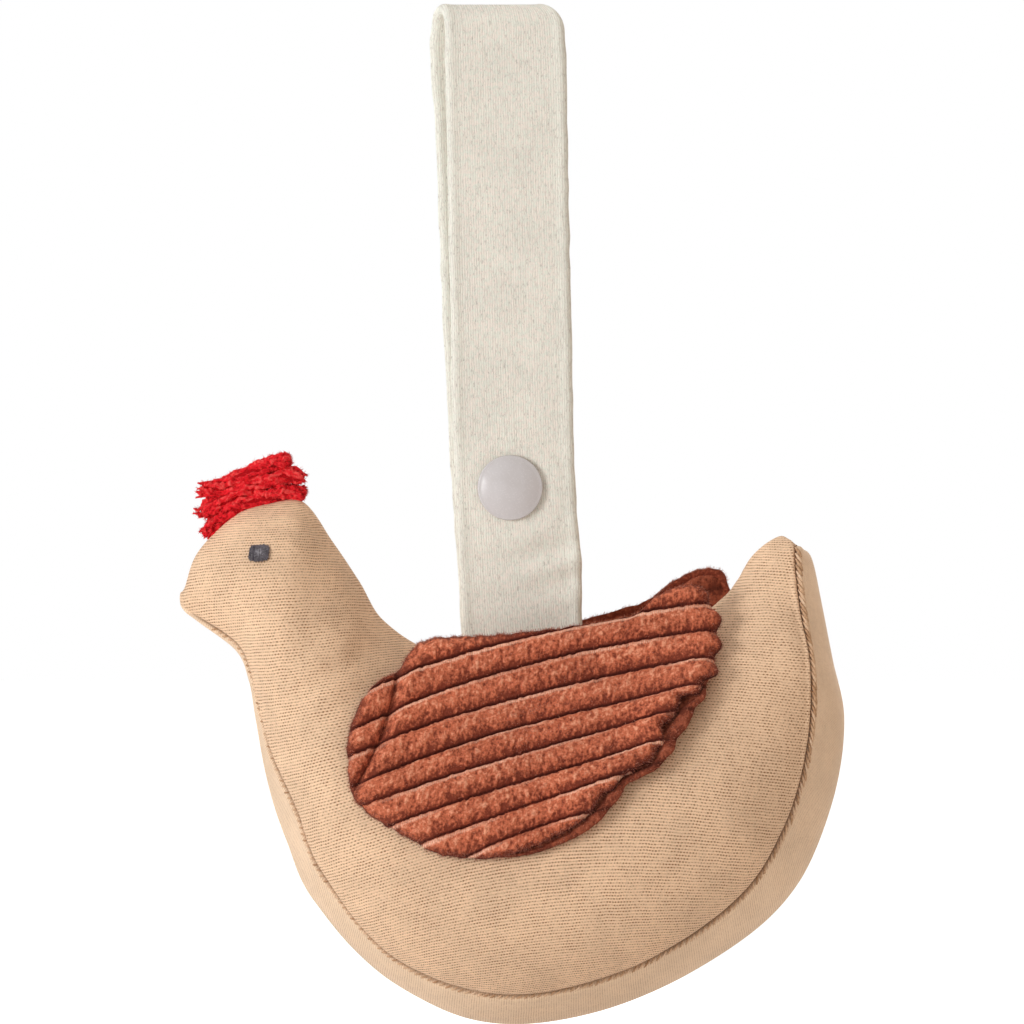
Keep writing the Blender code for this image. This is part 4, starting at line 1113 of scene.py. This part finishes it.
def add_strap():
    """The strap's two legs, which meet at the fold's crest."""
    low = STRAP_DROP + STRAP_HALF_THICKNESS + GAP + SEWN_END_DEPTH

    def front_ripple(drop, across):
        lift = 0.16 * grain(drop / 11, across / 9 + 5, 44) + 0.05 * grain(drop / 4, across / 5, 45)
        span = np.hypot(drop - SNAP_DROP, across)
        lift = lift + 0.28 * hump(span - 8.4, 2.0) - 0.25 * hump(span, 6.6)
        folds = np.sin((drop - 97) * TAU / 7.2 + across * 0.16 + grain(across / 6, drop / 9, 47))
        folds *= hump(drop - FOLDS_DROP, 7.0) * (0.2 + 0.7 * smooth_step((across + 6) / 14))
        lift = lift + 0.52 * folds
        return -lift * smooth_step((low - drop) / 14) * smooth_step((drop + 1) / 8)

    def back_ripple(drop, across):
        return 0.16 * grain(drop / 12, across / 8, 46) * smooth_step((drop + 1) / 8)

    turns = np.linspace(0, math.pi / 2, FOLD_STEPS)[1:]
    drops = np.arange(low, FOLD_INNER_RADIUS, -STRAP_STEP)
    line = np.concatenate([front_leg(drops), fold_arc(turns)])
    nodes = ["strap_band", "strap_sewn_end"]
    piece = band_piece("strap_front", line, -1, front_ripple, nodes)
    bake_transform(piece)

    turns = np.linspace(math.pi / 2, math.pi, FOLD_STEPS)[:-1]
    drops = np.arange(FOLD_INNER_RADIUS, LOOSE_END_DROP, STRAP_STEP)
    line = np.concatenate([fold_arc(turns), back_leg(drops)])
    piece = band_piece("strap_back", line, 0, back_ripple, ["strap_end"])
    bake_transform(piece)


def turned_piece(node, profile, place, face, body):
    """Solid turned about Y from radii and heights, with its heights towards the given side."""
    angles = TAU * np.arange(SNAP_STEPS) / SNAP_STEPS
    profile = np.array(profile)
    radius, height = profile[:, 0:1], profile[:, 1:2]
    points = stacked(radius * np.cos(angles), height * face, radius * np.sin(angles))
    index = np.arange(points.shape[0] * SNAP_STEPS).reshape(-1, SNAP_STEPS)
    faces = [grid_faces(index, True)]
    if profile[0][0] < 0.2:
        faces += [index[:1], index[-1:, ::-1]]
    else:
        ring = np.concatenate([index[-1:], index[:1]])
        faces = [np.concatenate([faces[0], grid_faces(ring, True)])]
    piece = make_piece(node + "_shown", points, faces, SNAP, origin=np.array(place))
    piece.data.set_sharp_from_angle(angle=SNAP_SHARP_ANGLE)
    declared(piece, [node], body)


def rounded_cap(post):
    """Low dome with a soft rim and a post, from the post's tip up."""
    rim = post + GAP
    dome = [(CAP_RADIUS * t, rim + 0.55 + 1.40 * (1 - t ** 2.1))
            for t in np.linspace(0.1, 0.94, 12)]
    edge = [(CAP_RADIUS - 0.34 + 0.34 * math.sin(turn), rim + 0.40 + 0.36 * math.cos(turn))
            for turn in np.radians((30, 60, 90, 120, 150))]
    return [(0.02, rim + 1.95)] + dome + edge + [
        (CAP_RADIUS - 0.5, rim), (CAP_RADIUS - 1.0, rim + 0.1), (POST_RADIUS + 0.2, rim + 0.1),
        (POST_RADIUS, rim), (POST_RADIUS, 0.15), (POST_RADIUS - 0.15, 0.0), (0.02, 0.0),
    ]


def add_snap():
    """Front cap and socket on the long leg; back cap and stud on the loose end."""
    front = front_leg(np.array(SNAP_DROP))
    back = back_leg(np.array(SNAP_DROP))
    x, z = front[0] + SNAP_OFFSET, front[2]
    socket_y = front[1] + STRAP_HALF_THICKNESS + GAP
    stud_y = back[1] - STRAP_HALF_THICKNESS - GAP
    through = 2 * STRAP_HALF_THICKNESS + GAP
    caps = (("front", SOCKET_FLOOR, socket_y + SOCKET_FLOOR, -1, "strap"),
            ("back", STUD_FLANGE, stud_y - STUD_FLANGE, 1, "loose_end"))
    for word, seat, y, face, body in caps:
        turned_piece("snap_cap_" + word, rounded_cap(through + seat), (x, y, z), face, body)
    bore, recess, top = POST_RADIUS + GAP, STUD_RADIUS + GAP, SOCKET_HEIGHT
    side = SNAP_BODY_RADIUS
    socket = [
        (recess + 0.25, top), (side - 0.6, top), (side - 0.2, top - 0.15), (side, top - 0.55),
        (side, 0.2), (side - 0.2, 0.0), (bore, 0.0), (bore, SOCKET_FLOOR),
        (recess + 0.1, SOCKET_FLOOR), (recess + 0.2, top - 0.7), (recess, top - 0.25),
    ]
    turned_piece("snap_socket", socket, (x, socket_y, z), 1, "strap")
    top, flange = STUD_FLANGE + STUD_HEIGHT, STUD_FLANGE
    stud = [
        (bore, top), (STUD_RADIUS - 0.45, top), (STUD_RADIUS - 0.1, top - 0.15),
        (STUD_RADIUS, top - 0.45), (STUD_RADIUS - 0.3, flange + 0.2), (STUD_RADIUS - 0.2, flange),
        (side - 0.15, flange), (side, flange - 0.15), (side, 0.15), (side - 0.15, 0.0), (bore, 0.0),
    ]
    turned_piece("snap_stud", stud, (x, stud_y, z), -1, "loose_end")


# Comb and eyes


def add_ply(row, ply, number, line, way, axes, taper, chance):
    """One lumpy ply wound round a row's core, with its own short hairs."""
    forward, outward, side = axes
    level = way * 0
    phase = TAU * (ply / COMB_PLIES + way / PLY_TWIST)
    phase = phase + 0.5 * grain(way / 3.5, level + ply * 9, 80 + number)
    spread = (1.22 + 0.15 * grain(way / 2.0, level + ply * 5, 84 + number)) * taper
    turned = outward * np.cos(phase)[:, None] + side * np.sin(phase)[:, None]
    centre = line + turned * spread[:, None]
    width = 0.50 * taper * (1 + 0.30 * grain(way / 0.9, level + ply * 9, 88 + number))
    angle = np.arange(PLY_SIDES) / PLY_SIDES * 6
    lump = grain(way[:, None] / 0.62, angle[None] + ply * 11, 90 + number)
    lump = lump + 0.6 * grain(way[:, None] / 0.33, 2 * angle[None] + ply * 5, 95 + number)
    middle = centre[:, None]
    rings = middle + (tube(centre, width, PLY_SIDES) - middle) * (1 + 0.42 * lump[..., None])
    # Painted light and shade: raised lumps take a lighter tone and sunken ones a darker, besides a
    # random tone for each ply
    row.add_tube(rings, 0.52 + 0.34 * lump + chance.uniform(-0.15, 0.15))
    pick = chance.randint(3, len(way) - 3, PLY_HAIRS)
    roots = rings[pick, chance.randint(0, PLY_SIDES, PLY_HAIRS)]
    out = unit(roots - centre[pick])
    swirl = forward[pick] * chance.normal(0, 0.9, (PLY_HAIRS, 1))
    swirl = swirl + chance.normal(0, 0.35, (PLY_HAIRS, 3))
    lengths = chance.uniform(0.3, 0.85, PLY_HAIRS)
    aims = out * 0.7 + swirl
    points, faces, tone = fibres(roots - out * 0.1, aims, lengths, 0.06, 0.45, 100 + ply)
    row.add(points, faces, tone * 0.8 + 0.15)


def add_frays(row, tip, away, count, reach, chance):
    """Loose strands at a row's end, each with a few hairs."""
    t = np.linspace(0, 1, 8)[:, None]
    for _ in range(count):
        aim = unit(away + chance.normal(0, 0.45 * reach + 0.15, 3))
        long = chance.uniform(0.9, 1.8) * reach
        begin = tip - away * 0.7 + chance.normal(0, 0.55, 3)
        strand = begin + aim * long * t + chance.normal(0, 0.35, 3) * t ** 2 * long * 0.5
        rings = tube(strand, 0.40 * (1 - 0.8 * t[:, 0] ** 1.4), 8)
        row.add_tube(rings, chance.uniform(0.3, 0.75))
        roots = rings[chance.randint(1, 7, FRAY_HAIRS), chance.randint(0, 8, FRAY_HAIRS)]
        aims = aim + chance.normal(0, 0.6, (FRAY_HAIRS, 3))
        row.add(*fibres(roots, aims, chance.uniform(0.3, 0.7, FRAY_HAIRS), 0.05, 0.4, 7))


def add_comb():
    """Rows of fuzzy yarn, each a bundle of lumpy plies round a core in the darkest tone, painted
    shade between the plies.
    """
    for number, corners in enumerate(COMB_LINES):
        chance = np.random.RandomState(60 + number)
        drawn = along(np.array(corners), np.linspace(0, len(corners) - 1, COMB_ROW_POINTS))
        straight = stacked(drawn[:, 0], 0.0, drawn[:, 1])
        forward = unit(np.gradient(straight, axis=0))
        outward = unit(stacked(-forward[:, 2], 0.0, forward[:, 0]))
        axes = forward, outward, np.cross(forward, outward)
        way = lengths_along(straight)
        wobble = stacked(*[grain(way / 4, way * 0 + k * 7, 70 + number) for k in range(3)])
        line = straight + wobble * (0.25, 0.3, 0.3)
        ends = np.minimum(way, way[-1] - way)
        taper = np.sqrt(1 - (1 - np.clip(ends / 1.4, 0, 1)) ** 2 * 0.96)
        row = Bundle()
        # The core takes the darkest tone: painted shade in the gaps between the plies
        row.add_tube(tube(line, 1.25 * taper, 10), 0.02)
        for ply in range(COMB_PLIES):
            add_ply(row, ply, number, line, way, axes, taper, chance)
        for end, near, count, reach in ((0, 6, 11, 1.0), (-1, -7, 5, 0.45)):
            add_frays(row, line[end], unit(line[end] - line[near]), count, reach, chance)
        piece = row.make("comb_row_%d" % (number + 1), COMB)
        declared(piece, ["comb_yarn_%d" % (number + 1)], "hen")


def add_eyes():
    """Satin stitches side by side over a rounded block."""
    for word, turn in (("left", -1), ("right", 1)):
        chance = np.random.RandomState(30)
        eye = Bundle()
        for x in np.linspace(-EYE_HALF[0] + 0.12, EYE_HALF[0] - 0.12, EYE_STITCHES):
            corner = 1 - abs(x / EYE_HALF[0]) ** 5
            tall = EYE_HALF[1] * corner ** 0.35 + chance.uniform(-0.13, 0.10)
            t = np.linspace(-1, 1, EYE_STITCH_POINTS)
            z = EYE[1] + t * tall + chance.uniform(-0.06, 0.06)
            across = EYE[0] + x + 0.12 * t + chance.uniform(-0.03, 0.03)
            rise = 0.05 + 0.42 * np.sqrt(np.maximum(1 - t ** 4, 0)) * (0.6 + 0.4 * corner)
            y = half_width_at(across, z) + rise + 0.35
            line = stacked(across, y * turn, z)
            # Painted highlight: stitches paler towards the middle of the raised eye, over a random
            # tone
            pale = 0.45 * hump(x + 0.1, 0.9) * hump(t - 0.1, 0.6) + chance.uniform(0.1, 0.5)
            eye.add_tube(tube(line, 0.145 + 0.02 * np.cos(5 * t + x), 8), pale[:, None])
            roots = line[chance.randint(0, len(t), EYE_HAIRS)] + (0, 0.12 * turn, 0)
            aims = chance.normal(0, 1, (EYE_HAIRS, 3)) + (0, 0.8 * turn, 0)
            lengths = chance.uniform(0.25, 0.6, EYE_HAIRS)
            eye.add(*fibres(roots, aims, lengths, 0.035, 0.4, int(chance.randint(99))))
        piece = eye.make("eye_%s_stitches" % word, EYE_THREAD)
        declared(piece, ["eye_" + word], "hen")


# Wings


def wing_field():
    """Distance of a wing's inner face from the middle plane, over the side view."""
    x, z = np.meshgrid(FIELD_X, FIELD_Z, indexing="ij")
    hug = half_width_at(x, z) + WING_CLEARANCE
    free = WING_TOP_SPREAD + WING_TOP_SLOPE * (WING_TOP_HEIGHT - z)
    field = 0.5 * (hug + free + np.sqrt((hug - free) ** 2 + WING_BLEND ** 2))
    soft = field
    for number in range(FIELD_PASSES):
        wide = np.pad(soft, 1, mode="edge")
        around = np.stack([wide[:-2, 1:-1], wide[2:, 1:-1], wide[1:-1, :-2], wide[1:-1, 2:], soft])
        soft = around.max(0) if number < WIDENING_PASSES else around.mean(0)
    return field + (soft - field) * smooth_step((z + 16) / 10)


def wing_inside(x, z):
    """The field at any points."""
    at_x = np.clip((x - FIELD_X[0]) / FIELD_STEP, 0, len(FIELD_X) - 1.001)
    at_z = np.clip((z - FIELD_Z[0]) / FIELD_STEP, 0, len(FIELD_Z) - 1.001)
    i = at_x.astype(int)
    j = at_z.astype(int)
    low = WING_FIELD[i, j] * (i + 1 - at_x) + WING_FIELD[i + 1, j] * (at_x - i)
    high = WING_FIELD[i, j + 1] * (i + 1 - at_x) + WING_FIELD[i + 1, j + 1] * (at_x - i)
    return low * (j + 1 - at_z) + high * (at_z - j)


def placed(x, z, lie):
    """Where a point of the drawing lies on a wing tilted and stretched by its lie."""
    tilt, reach = lie
    stretch = smooth_step((x - WING_REACH_START) / (WING_REACH_END - WING_REACH_START))
    across, up = x + reach * stretch - STITCH_MIDDLE[0], z - STITCH_MIDDLE[1]
    tilt = tilt * smooth_step((x - 2) / 24)
    return (STITCH_MIDDLE[0] + across * np.cos(tilt) - up * np.sin(tilt),
            STITCH_MIDDLE[1] + across * np.sin(tilt) + up * np.cos(tilt))


def wing_surface(x, z, side, lie, step=0.8):
    """Points of a wing's inner face and the outward normals there."""
    at_x, at_z = placed(x, z, lie)
    y = wing_inside(at_x, at_z)
    slope_x = (wing_inside(at_x + step, at_z) - wing_inside(at_x - step, at_z)) / (2 * step)
    slope_z = (wing_inside(at_x, at_z + step) - wing_inside(at_x, at_z - step)) / (2 * step)
    normal = unit(stacked(-slope_x, 1.0, -slope_z))
    sides = np.array((1, side, 1))
    return stacked(at_x, y, at_z) * sides, normal * sides


def rib_level(x, z):
    """Ribs counted from the top: whole numbers in the valleys."""
    across, flat = x.ravel(), z.ravel()
    lines = VALLEYS[:, 0, None] + VALLEYS[:, 1, None] * across + VALLEYS[:, 2, None] * across ** 2
    number = np.clip((lines > flat).sum(0) - 1, 0, len(VALLEYS) - 2)
    pick = np.arange(len(flat))
    upper, lower = lines[number, pick], lines[number + 1, pick]
    return (number + np.clip((upper - flat) / (upper - lower), 0, 1)).reshape(x.shape)


def smooth_loop(corners, count):
    """A closed smooth curve through corners, with evenly spaced points."""
    fine = []
    size = len(corners)
    for i in range(size):
        around = [corners[(i + step) % size] for step in (-1, 0, 1, 2)]
        fine += [spline(*around, t) for t in np.linspace(0, 1, 12, endpoint=False)]
    fine = np.array(fine + [fine[0]])
    way = lengths_along(fine[:, :2])
    at = np.linspace(0, way[-1], count, endpoint=False)
    return stacked(*[np.interp(at, way, column) for column in fine.T])


def past_stitch(x, z):
    """Distance behind the bowed stitch line, in the drawing."""
    across, up = x - STITCH[0][0], z - STITCH[0][1]
    way = across * STITCH_DOWN[0] + up * STITCH_DOWN[1]
    share = np.clip(way / np.linalg.norm(STITCH[1] - STITCH[0]), 0, 1)
    return up * STITCH_DOWN[0] - across * STITCH_DOWN[1] - STITCH_BOW * np.sin(math.pi * share)


def wing_rings(outline, radii):
    """Drawing points on rings inside an outline, and their distance from it."""
    across = outline - WING_CENTRE
    tangent = unit(np.roll(outline, -1, 0) - np.roll(outline, 1, 0))
    square = np.abs(across[:, 0] * tangent[:, 1] - across[:, 1] * tangent[:, 0])
    for _ in range(3):
        wide = len(square) // 40
        square = np.mean([np.roll(square, step) for step in range(-wide, wide + 1)], axis=0)
    places = WING_CENTRE + across[None] * radii[:, None, None]
    return places[..., 0], places[..., 1], (1 - radii)[:, None] * square


def disc_faces(rings, count, start):
    """Quads between rings and a fan to the last point, numbered from start."""
    index = start + np.arange(rings * count).reshape(rings, count)
    last = index[-1]
    fan = stacked(last, last[-1] + 1, np.roll(last, -1))
    return grid_faces(index, True), fan


def closed_disc(upper, lower):
    """Points and faces of a closed sheet from its outer and inner rings."""
    count = upper.shape[1]
    points = [upper.reshape(-1, 3), upper[-1:].mean(1), lower.reshape(-1, 3), lower[-1:].mean(1)]
    second = len(upper) * count + 1
    quads, fan = disc_faces(len(upper), count, 0)
    under_quads, under_fan = disc_faces(len(lower), count, second)
    ring = np.arange(count)
    onward = np.roll(ring, -1)
    rim = stacked(ring, onward, second + onward, second + ring)
    quads = np.concatenate([quads, under_quads[:, ::-1], rim])
    return np.concatenate(points), [quads, np.concatenate([fan, under_fan[:, ::-1]])]


def loop_tangent(loop):
    return unit(np.roll(loop, -3, 0) - np.roll(loop, 3, 0))


def moved_in(loop, amount):
    """The loop moved towards its inside."""
    tangent = loop_tangent(loop)
    normal = stacked(tangent[:, 1], -tangent[:, 0])
    outward = normal * np.sign((normal * (loop - WING_CENTRE)).sum(-1, keepdims=True))
    return loop - outward * amount[:, None]


def scallops(loop):
    """How far the edge is drawn in between the ends of the ribs behind the stitch line."""
    level = rib_level(loop[:, 0], loop[:, 1])
    steep = np.abs(loop_tangent(loop)[:, 1]) ** 1.5 * smooth_step((loop[:, 0] + 20) / 8)
    way = lengths_along(loop)
    return SCALLOP * np.cos(TAU * level) * steep - 0.16 * grain(way / 1.1, way * 0, 51)


def edge_lift(x, z, inward):
    """How far a wing's free edge stands off the hen."""
    low_right = smooth_step((x - 6) / 22) * smooth_step((4 - z) / 16) * hump(inward, 7.0)
    flutter = 0.5 * hump(inward, 5.0) * (0.6 + 0.5 * grain(x / 7, z / 7, 55))
    return smooth_step(past_stitch(x, z) / 9) * (1.5 * low_right + flutter)


def over_disc(values, under=None):
    """Values at a closed disc's points, from its outer rings; the same below, or one value."""
    upper = np.concatenate([values.reshape((-1,) + values.shape[2:]), values[-1, :1]])
    if under is None:
        return np.concatenate([upper, upper])
    count, value = under
    return np.concatenate([upper, np.full((count,) + values.shape[2:], value)])


def add_fuzz(name, at, roots, normal, places, inward, seed):
    """Loose fibres on a wing's pile at the picked points, longer and splayed at its rim."""
    chance = np.random.RandomState(seed)
    x, z = places
    outward = unit(stacked(x - WING_CENTRE[0], 0.0, z - WING_CENTRE[1]))[at]
    roots, normal, near_rim = roots[at], normal[at], hump(inward[at], 1.0)[:, None]
    aim = normal * (1.15 - 0.6 * near_rim) + outward * near_rim * 1.3
    aim = aim + chance.normal(0, 0.45, aim.shape) + np.array((0, 0, -0.25))
    lengths = chance.uniform(0.35, 0.8, len(aim))
    points, faces, tone = fibres(roots - normal * 0.15, aim, lengths, 0.045, 0.4, seed)
    fuzz = make_piece(name, points, faces, WING_FUZZ, tone=tone)
    declared(fuzz)
    return fuzz


def add_wing(word, side, lie):
    """A wing's ribbed outer layer with its loose fibres, sewn down along the stitch line."""
    loop = smooth_loop(WING_OUTLINE, LOOP_POINTS)
    inset = np.maximum(loop[:, 2], 0)
    loop = loop[:, :2]
    outline = moved_in(loop, inset + scallops(loop))
    radii = 1 - np.linspace(0, 1, OUTER_RINGS) ** 1.12 * 0.985
    x, z, inward = wing_rings(outline, radii)
    base, normal = wing_surface(x, z, side, lie)
    behind = past_stitch(x, z)
    level = rib_level(x, z)
    way = x * RIB_SLOPE
    cell = level * RIB_PITCH
    ragged = level + 0.022 * grain(way / 0.8, cell / 2, 63) + 0.014 * grain(way / 0.4, cell, 64)
    ragged = np.maximum(ragged, 0)
    number = np.floor(ragged)
    share = ragged % 1
    opened = smooth_step(0.42 + 1.1 * grain(way / 11, number * 2.7 + 0.5, 66))
    opened = np.where(number == OPEN_RIB, 1.0, opened)
    across_rib = np.abs(2 * np.clip((share - 0.02) / 0.97, 0, 1) ** (0.92 - 0.12 * opened) - 1)
    pile = np.sqrt(1 - across_rib ** 2.1)
    tuft = 0.8 * grain(way / 0.85, cell / 1.2, 52) + 0.6 * grain(way / 0.5, cell / 0.6, 53)
    edge = rounded(inward / 1.9)
    sewn = rounded(np.abs(behind) / np.where(behind > 0, 2.4, 1.7))
    swell = 1 + 0.10 * grain(way / 7, level * 2, 54)
    rise = RIB_HEIGHT * pile * (0.92 + 0.13 * tuft) * swell * (0.08 + 0.92 * sewn)
    overhang = smooth_step(inset / 1.2)
    open_rim = np.maximum(smooth_step(inward / 2.2 - 0.25), overhang)
    bed = (WING_LINING + 0.1) * smooth_step(behind / 2 - 0.3) * open_rim + 0.05
    bed = bed + edge_lift(x, z, inward) + 0.3 * overhang * hump(inward, 3.0)
    thick = np.maximum(WING_BASE - 0.75 * hump(behind, 0.6) + rise, 0.12) * edge
    outer = base + normal * (bed + thick)[..., None]
    inner = (base + normal * bed[..., None])[::INNER_STEP]
    points, faces = closed_disc(outer, inner)

    bare = smooth_step((share - 0.03) / 0.03) * smooth_step((0.21 - share) / 0.06) * sewn * opened
    # Painted shade, carried as the pile value: dark lines along the valleys, darker lower flanks,
    # and darker towards the rim and the stitch line
    from_valley = smooth_step((share + 0.005) / 0.04) * smooth_step((1 - share) / 0.11)
    flank = 1 - 0.5 * smooth_step((share - 0.5) / 0.48)
    shade = from_valley * edge * flank * (0.45 + 0.55 * sewn)
    under = len(inner) * LOOP_POINTS + 1
    piece = make_piece("wing_%s_corduroy" % word, points, faces, CORDUROY,
                       weave=over_disc(stacked(way, cell, 0.0), (under, 0.0)),
                       pile=over_disc(shade, (under, 0.5)), bare=over_disc(bare, (under, 0.0)),
                       tuft=over_disc(0.5 + 0.3 * tuft, (under, 0.5)))
    declared(piece, ["wing_%s_outer" % word, "wing_%s_sewn_edge" % word])

    chance = np.random.RandomState(56)
    rings = chance.randint(0, OUTER_RINGS - 4, PILE_HAIRS)
    rings = np.concatenate([rings, chance.randint(0, 6, RIM_HAIRS)])
    at = rings, chance.randint(0, LOOP_POINTS, len(rings))
    keep = (pile * edge - bare)[at] * 1.2 + (inward[at] < 1.5) > 0.5
    at = at[0][keep], at[1][keep]
    fuzz = add_fuzz("wing_%s_fuzz" % word, at, outer, normal, (x, z), inward, 57)

    behind_x, behind_z = STITCH_MIDDLE + STITCH_BACK * 2.5
    back = unit(np.array(placed(behind_x, behind_z, lie)) - np.array(placed(*STITCH_MIDDLE, lie)))
    back = np.array((back[0], 0, back[1]))
    for one in (piece, fuzz):
        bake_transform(one)
    add_lining(word, side, lie, loop[::2], inset[::2])


def add_lining(word, side, lie, loop, inset):
    """The wing's inner layer, piled towards the hen, with a rolled margin below the outer one; its
    darker corduroy and its pile value are painted shade.
    """
    outline = moved_in(loop, np.maximum(1.2 - inset, 0.1) + 0.5 * scallops(loop))
    short = np.maximum(0.4 - past_stitch(outline[:, 0], outline[:, 1]), 0)
    outline = outline + STITCH_BACK * short[:, None]
    x, z, inward = wing_rings(outline, 1 - np.linspace(0, 1, LINING_RINGS) ** 1.2 * 0.98)
    base, normal = wing_surface(x, z, side, lie)
    level = rib_level(x, z)
    pile = np.sqrt(np.abs(np.sin(math.pi * level)))
    edge = rounded(inward / 0.9)
    tuft = grain(x / 0.8, level * RIB_PITCH / 0.9, 58)
    margin = smooth_step(inset / 1.0) * (1 - smooth_step((inward - inset + 1.0) / 1.0))
    lift = edge_lift(x, z, inward) + 0.35
    upper = base + normal * (lift + 0.3 * edge + (0.75 + 0.15 * tuft) * margin * edge)[..., None]
    lower = base + normal * (lift - (0.2 + 0.35 * pile + 0.06 * tuft) * edge)[..., None]
    points, faces = closed_disc(upper, lower)
    # Painted shade: the darker corduroy, and the pile value darkening the valleys
    piece = make_piece("wing_%s_inner" % word, points, faces, LINING,
                       weave=over_disc(stacked(x, level * RIB_PITCH, 0.0)),
                       pile=over_disc(pile * 0.9), bare=np.zeros(len(points)),
                       tuft=over_disc(0.5 + 0.3 * tuft))
    declared(piece, ["wing_%s_lining" % word])
    chance = np.random.RandomState(61)
    at = chance.randint(0, 20, PILE_HAIRS), chance.randint(0, len(outline), PILE_HAIRS)
    keep = margin[at] + (inward[at] < 0.5) > 0.5
    at = at[0][keep], at[1][keep]
    fuzz = add_fuzz("wing_%s_inner_fuzz" % word, at, upper, normal, (x, z), inward,
                    62)
    for one in (piece, fuzz):
        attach(one, "wing_" + word)


def dress_hidden_nodes():
    """The filling and the rattle inside keep their CAD solids."""
    for name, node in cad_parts.items():
        if node.hide_render:
            continue
        material = FIBRE if name.startswith("stuffing") else CAPSULE if "shell" in name else BEAD
        node.data.materials.clear()
        node.data.materials.append(material)


# Room, light and camera


def add_stage():
    """A white floor whose glow only eyes and mirrors see."""
    mesh = bpy.data.meshes.new("floor")
    corners = [(x * FLOOR_HALF, y * FLOOR_HALF, 0) for x, y in ((-1, -1), (1, -1), (1, 1), (-1, 1))]
    mesh.from_pydata(corners, [], [(0, 1, 2, 3)])
    floor = new_object("floor", mesh)
    floor.location.z = cad_box[0].z - FLOOR_DROP
    s = Shades("floor", 0.9, base_color=FLOOR_COLOUR, emission_color=(1, 1, 1, 1),
               specular_ior_level=0.1)
    glow = s.math("MULTIPLY", s.rays("Camera", "Glossy"), FLOOR_GLOW)
    s.plug(glow, s.shader.inputs["Emission Strength"])
    mesh.materials.append(s.material)


def add_world():
    """White to the camera, and dimmer light with a warm +X side for everything else."""
    world = bpy.data.worlds.new("studio")
    bpy.context.scene.world = world
    world.use_nodes = True
    s = Nodes(world.node_tree)
    background = s.tree.nodes["Background"]
    seen = s.rays("Camera", "Glossy", "Transmission")
    across, _ = s.split(s.node("TexCoord", {}, "Generated"))
    sockets = {"Value": across, "From Min": 0.0, "From Max": WARM_REACH, "To Min": 0.0,
               "To Max": s.math("SUBTRACT", 1.0, seen)}
    s.plug(s.mix(s.node("MapRange", sockets), (1, 1, 1, 1), WARM), background.inputs["Color"])
    s.plug(s.math("MULTIPLY_ADD", seen, 1 - AMBIENT, AMBIENT), background.inputs["Strength"])


def add_lamps():
    """Round lamps that face the toy."""
    for name, place, size, power, colour in LAMPS:
        lamp = bpy.data.lights.new(name, "AREA")
        lamp.shape = "DISK"
        lamp.size = size
        lamp.energy = power
        lamp.color = colour
        light = new_object(name, lamp)
        light.location = place
        light.rotation_euler = (LAMP_TARGET - Vector(place)).to_track_quat("-Z", "Y").to_euler()


def add_camera():
    """The photo's view: straight on, from far away."""
    camera = new_object("camera", bpy.data.cameras.new("camera"))
    camera.data.lens = LENS
    camera.data.sensor_width = SENSOR
    across = (PHOTO_SIDE / 2 - FOLD_PIXEL[0]) * PIXEL
    up = -(PHOTO_SIDE / 2 - FOLD_PIXEL[1]) * PIXEL
    camera.location = (across, -PHOTO_SIDE * PIXEL * LENS / SENSOR, up)
    camera.rotation_euler = (math.pi / 2, 0, 0)
    camera.data.clip_start = 0.1
    camera.data.clip_end = 30
    bpy.context.scene.camera = camera


add_body()
add_seam_stitches()
add_strap()
add_snap()
add_comb()
add_eyes()
WING_FIELD = wing_field()
add_wing("left", -1, (0.0, 0.0))
add_wing("right", 1, (WING_RIGHT_TILT, WING_RIGHT_REACH))
dress_hidden_nodes()
add_stage()
add_world()
add_lamps()
add_camera()
bpy.context.scene.view_settings.view_transform = "Standard"
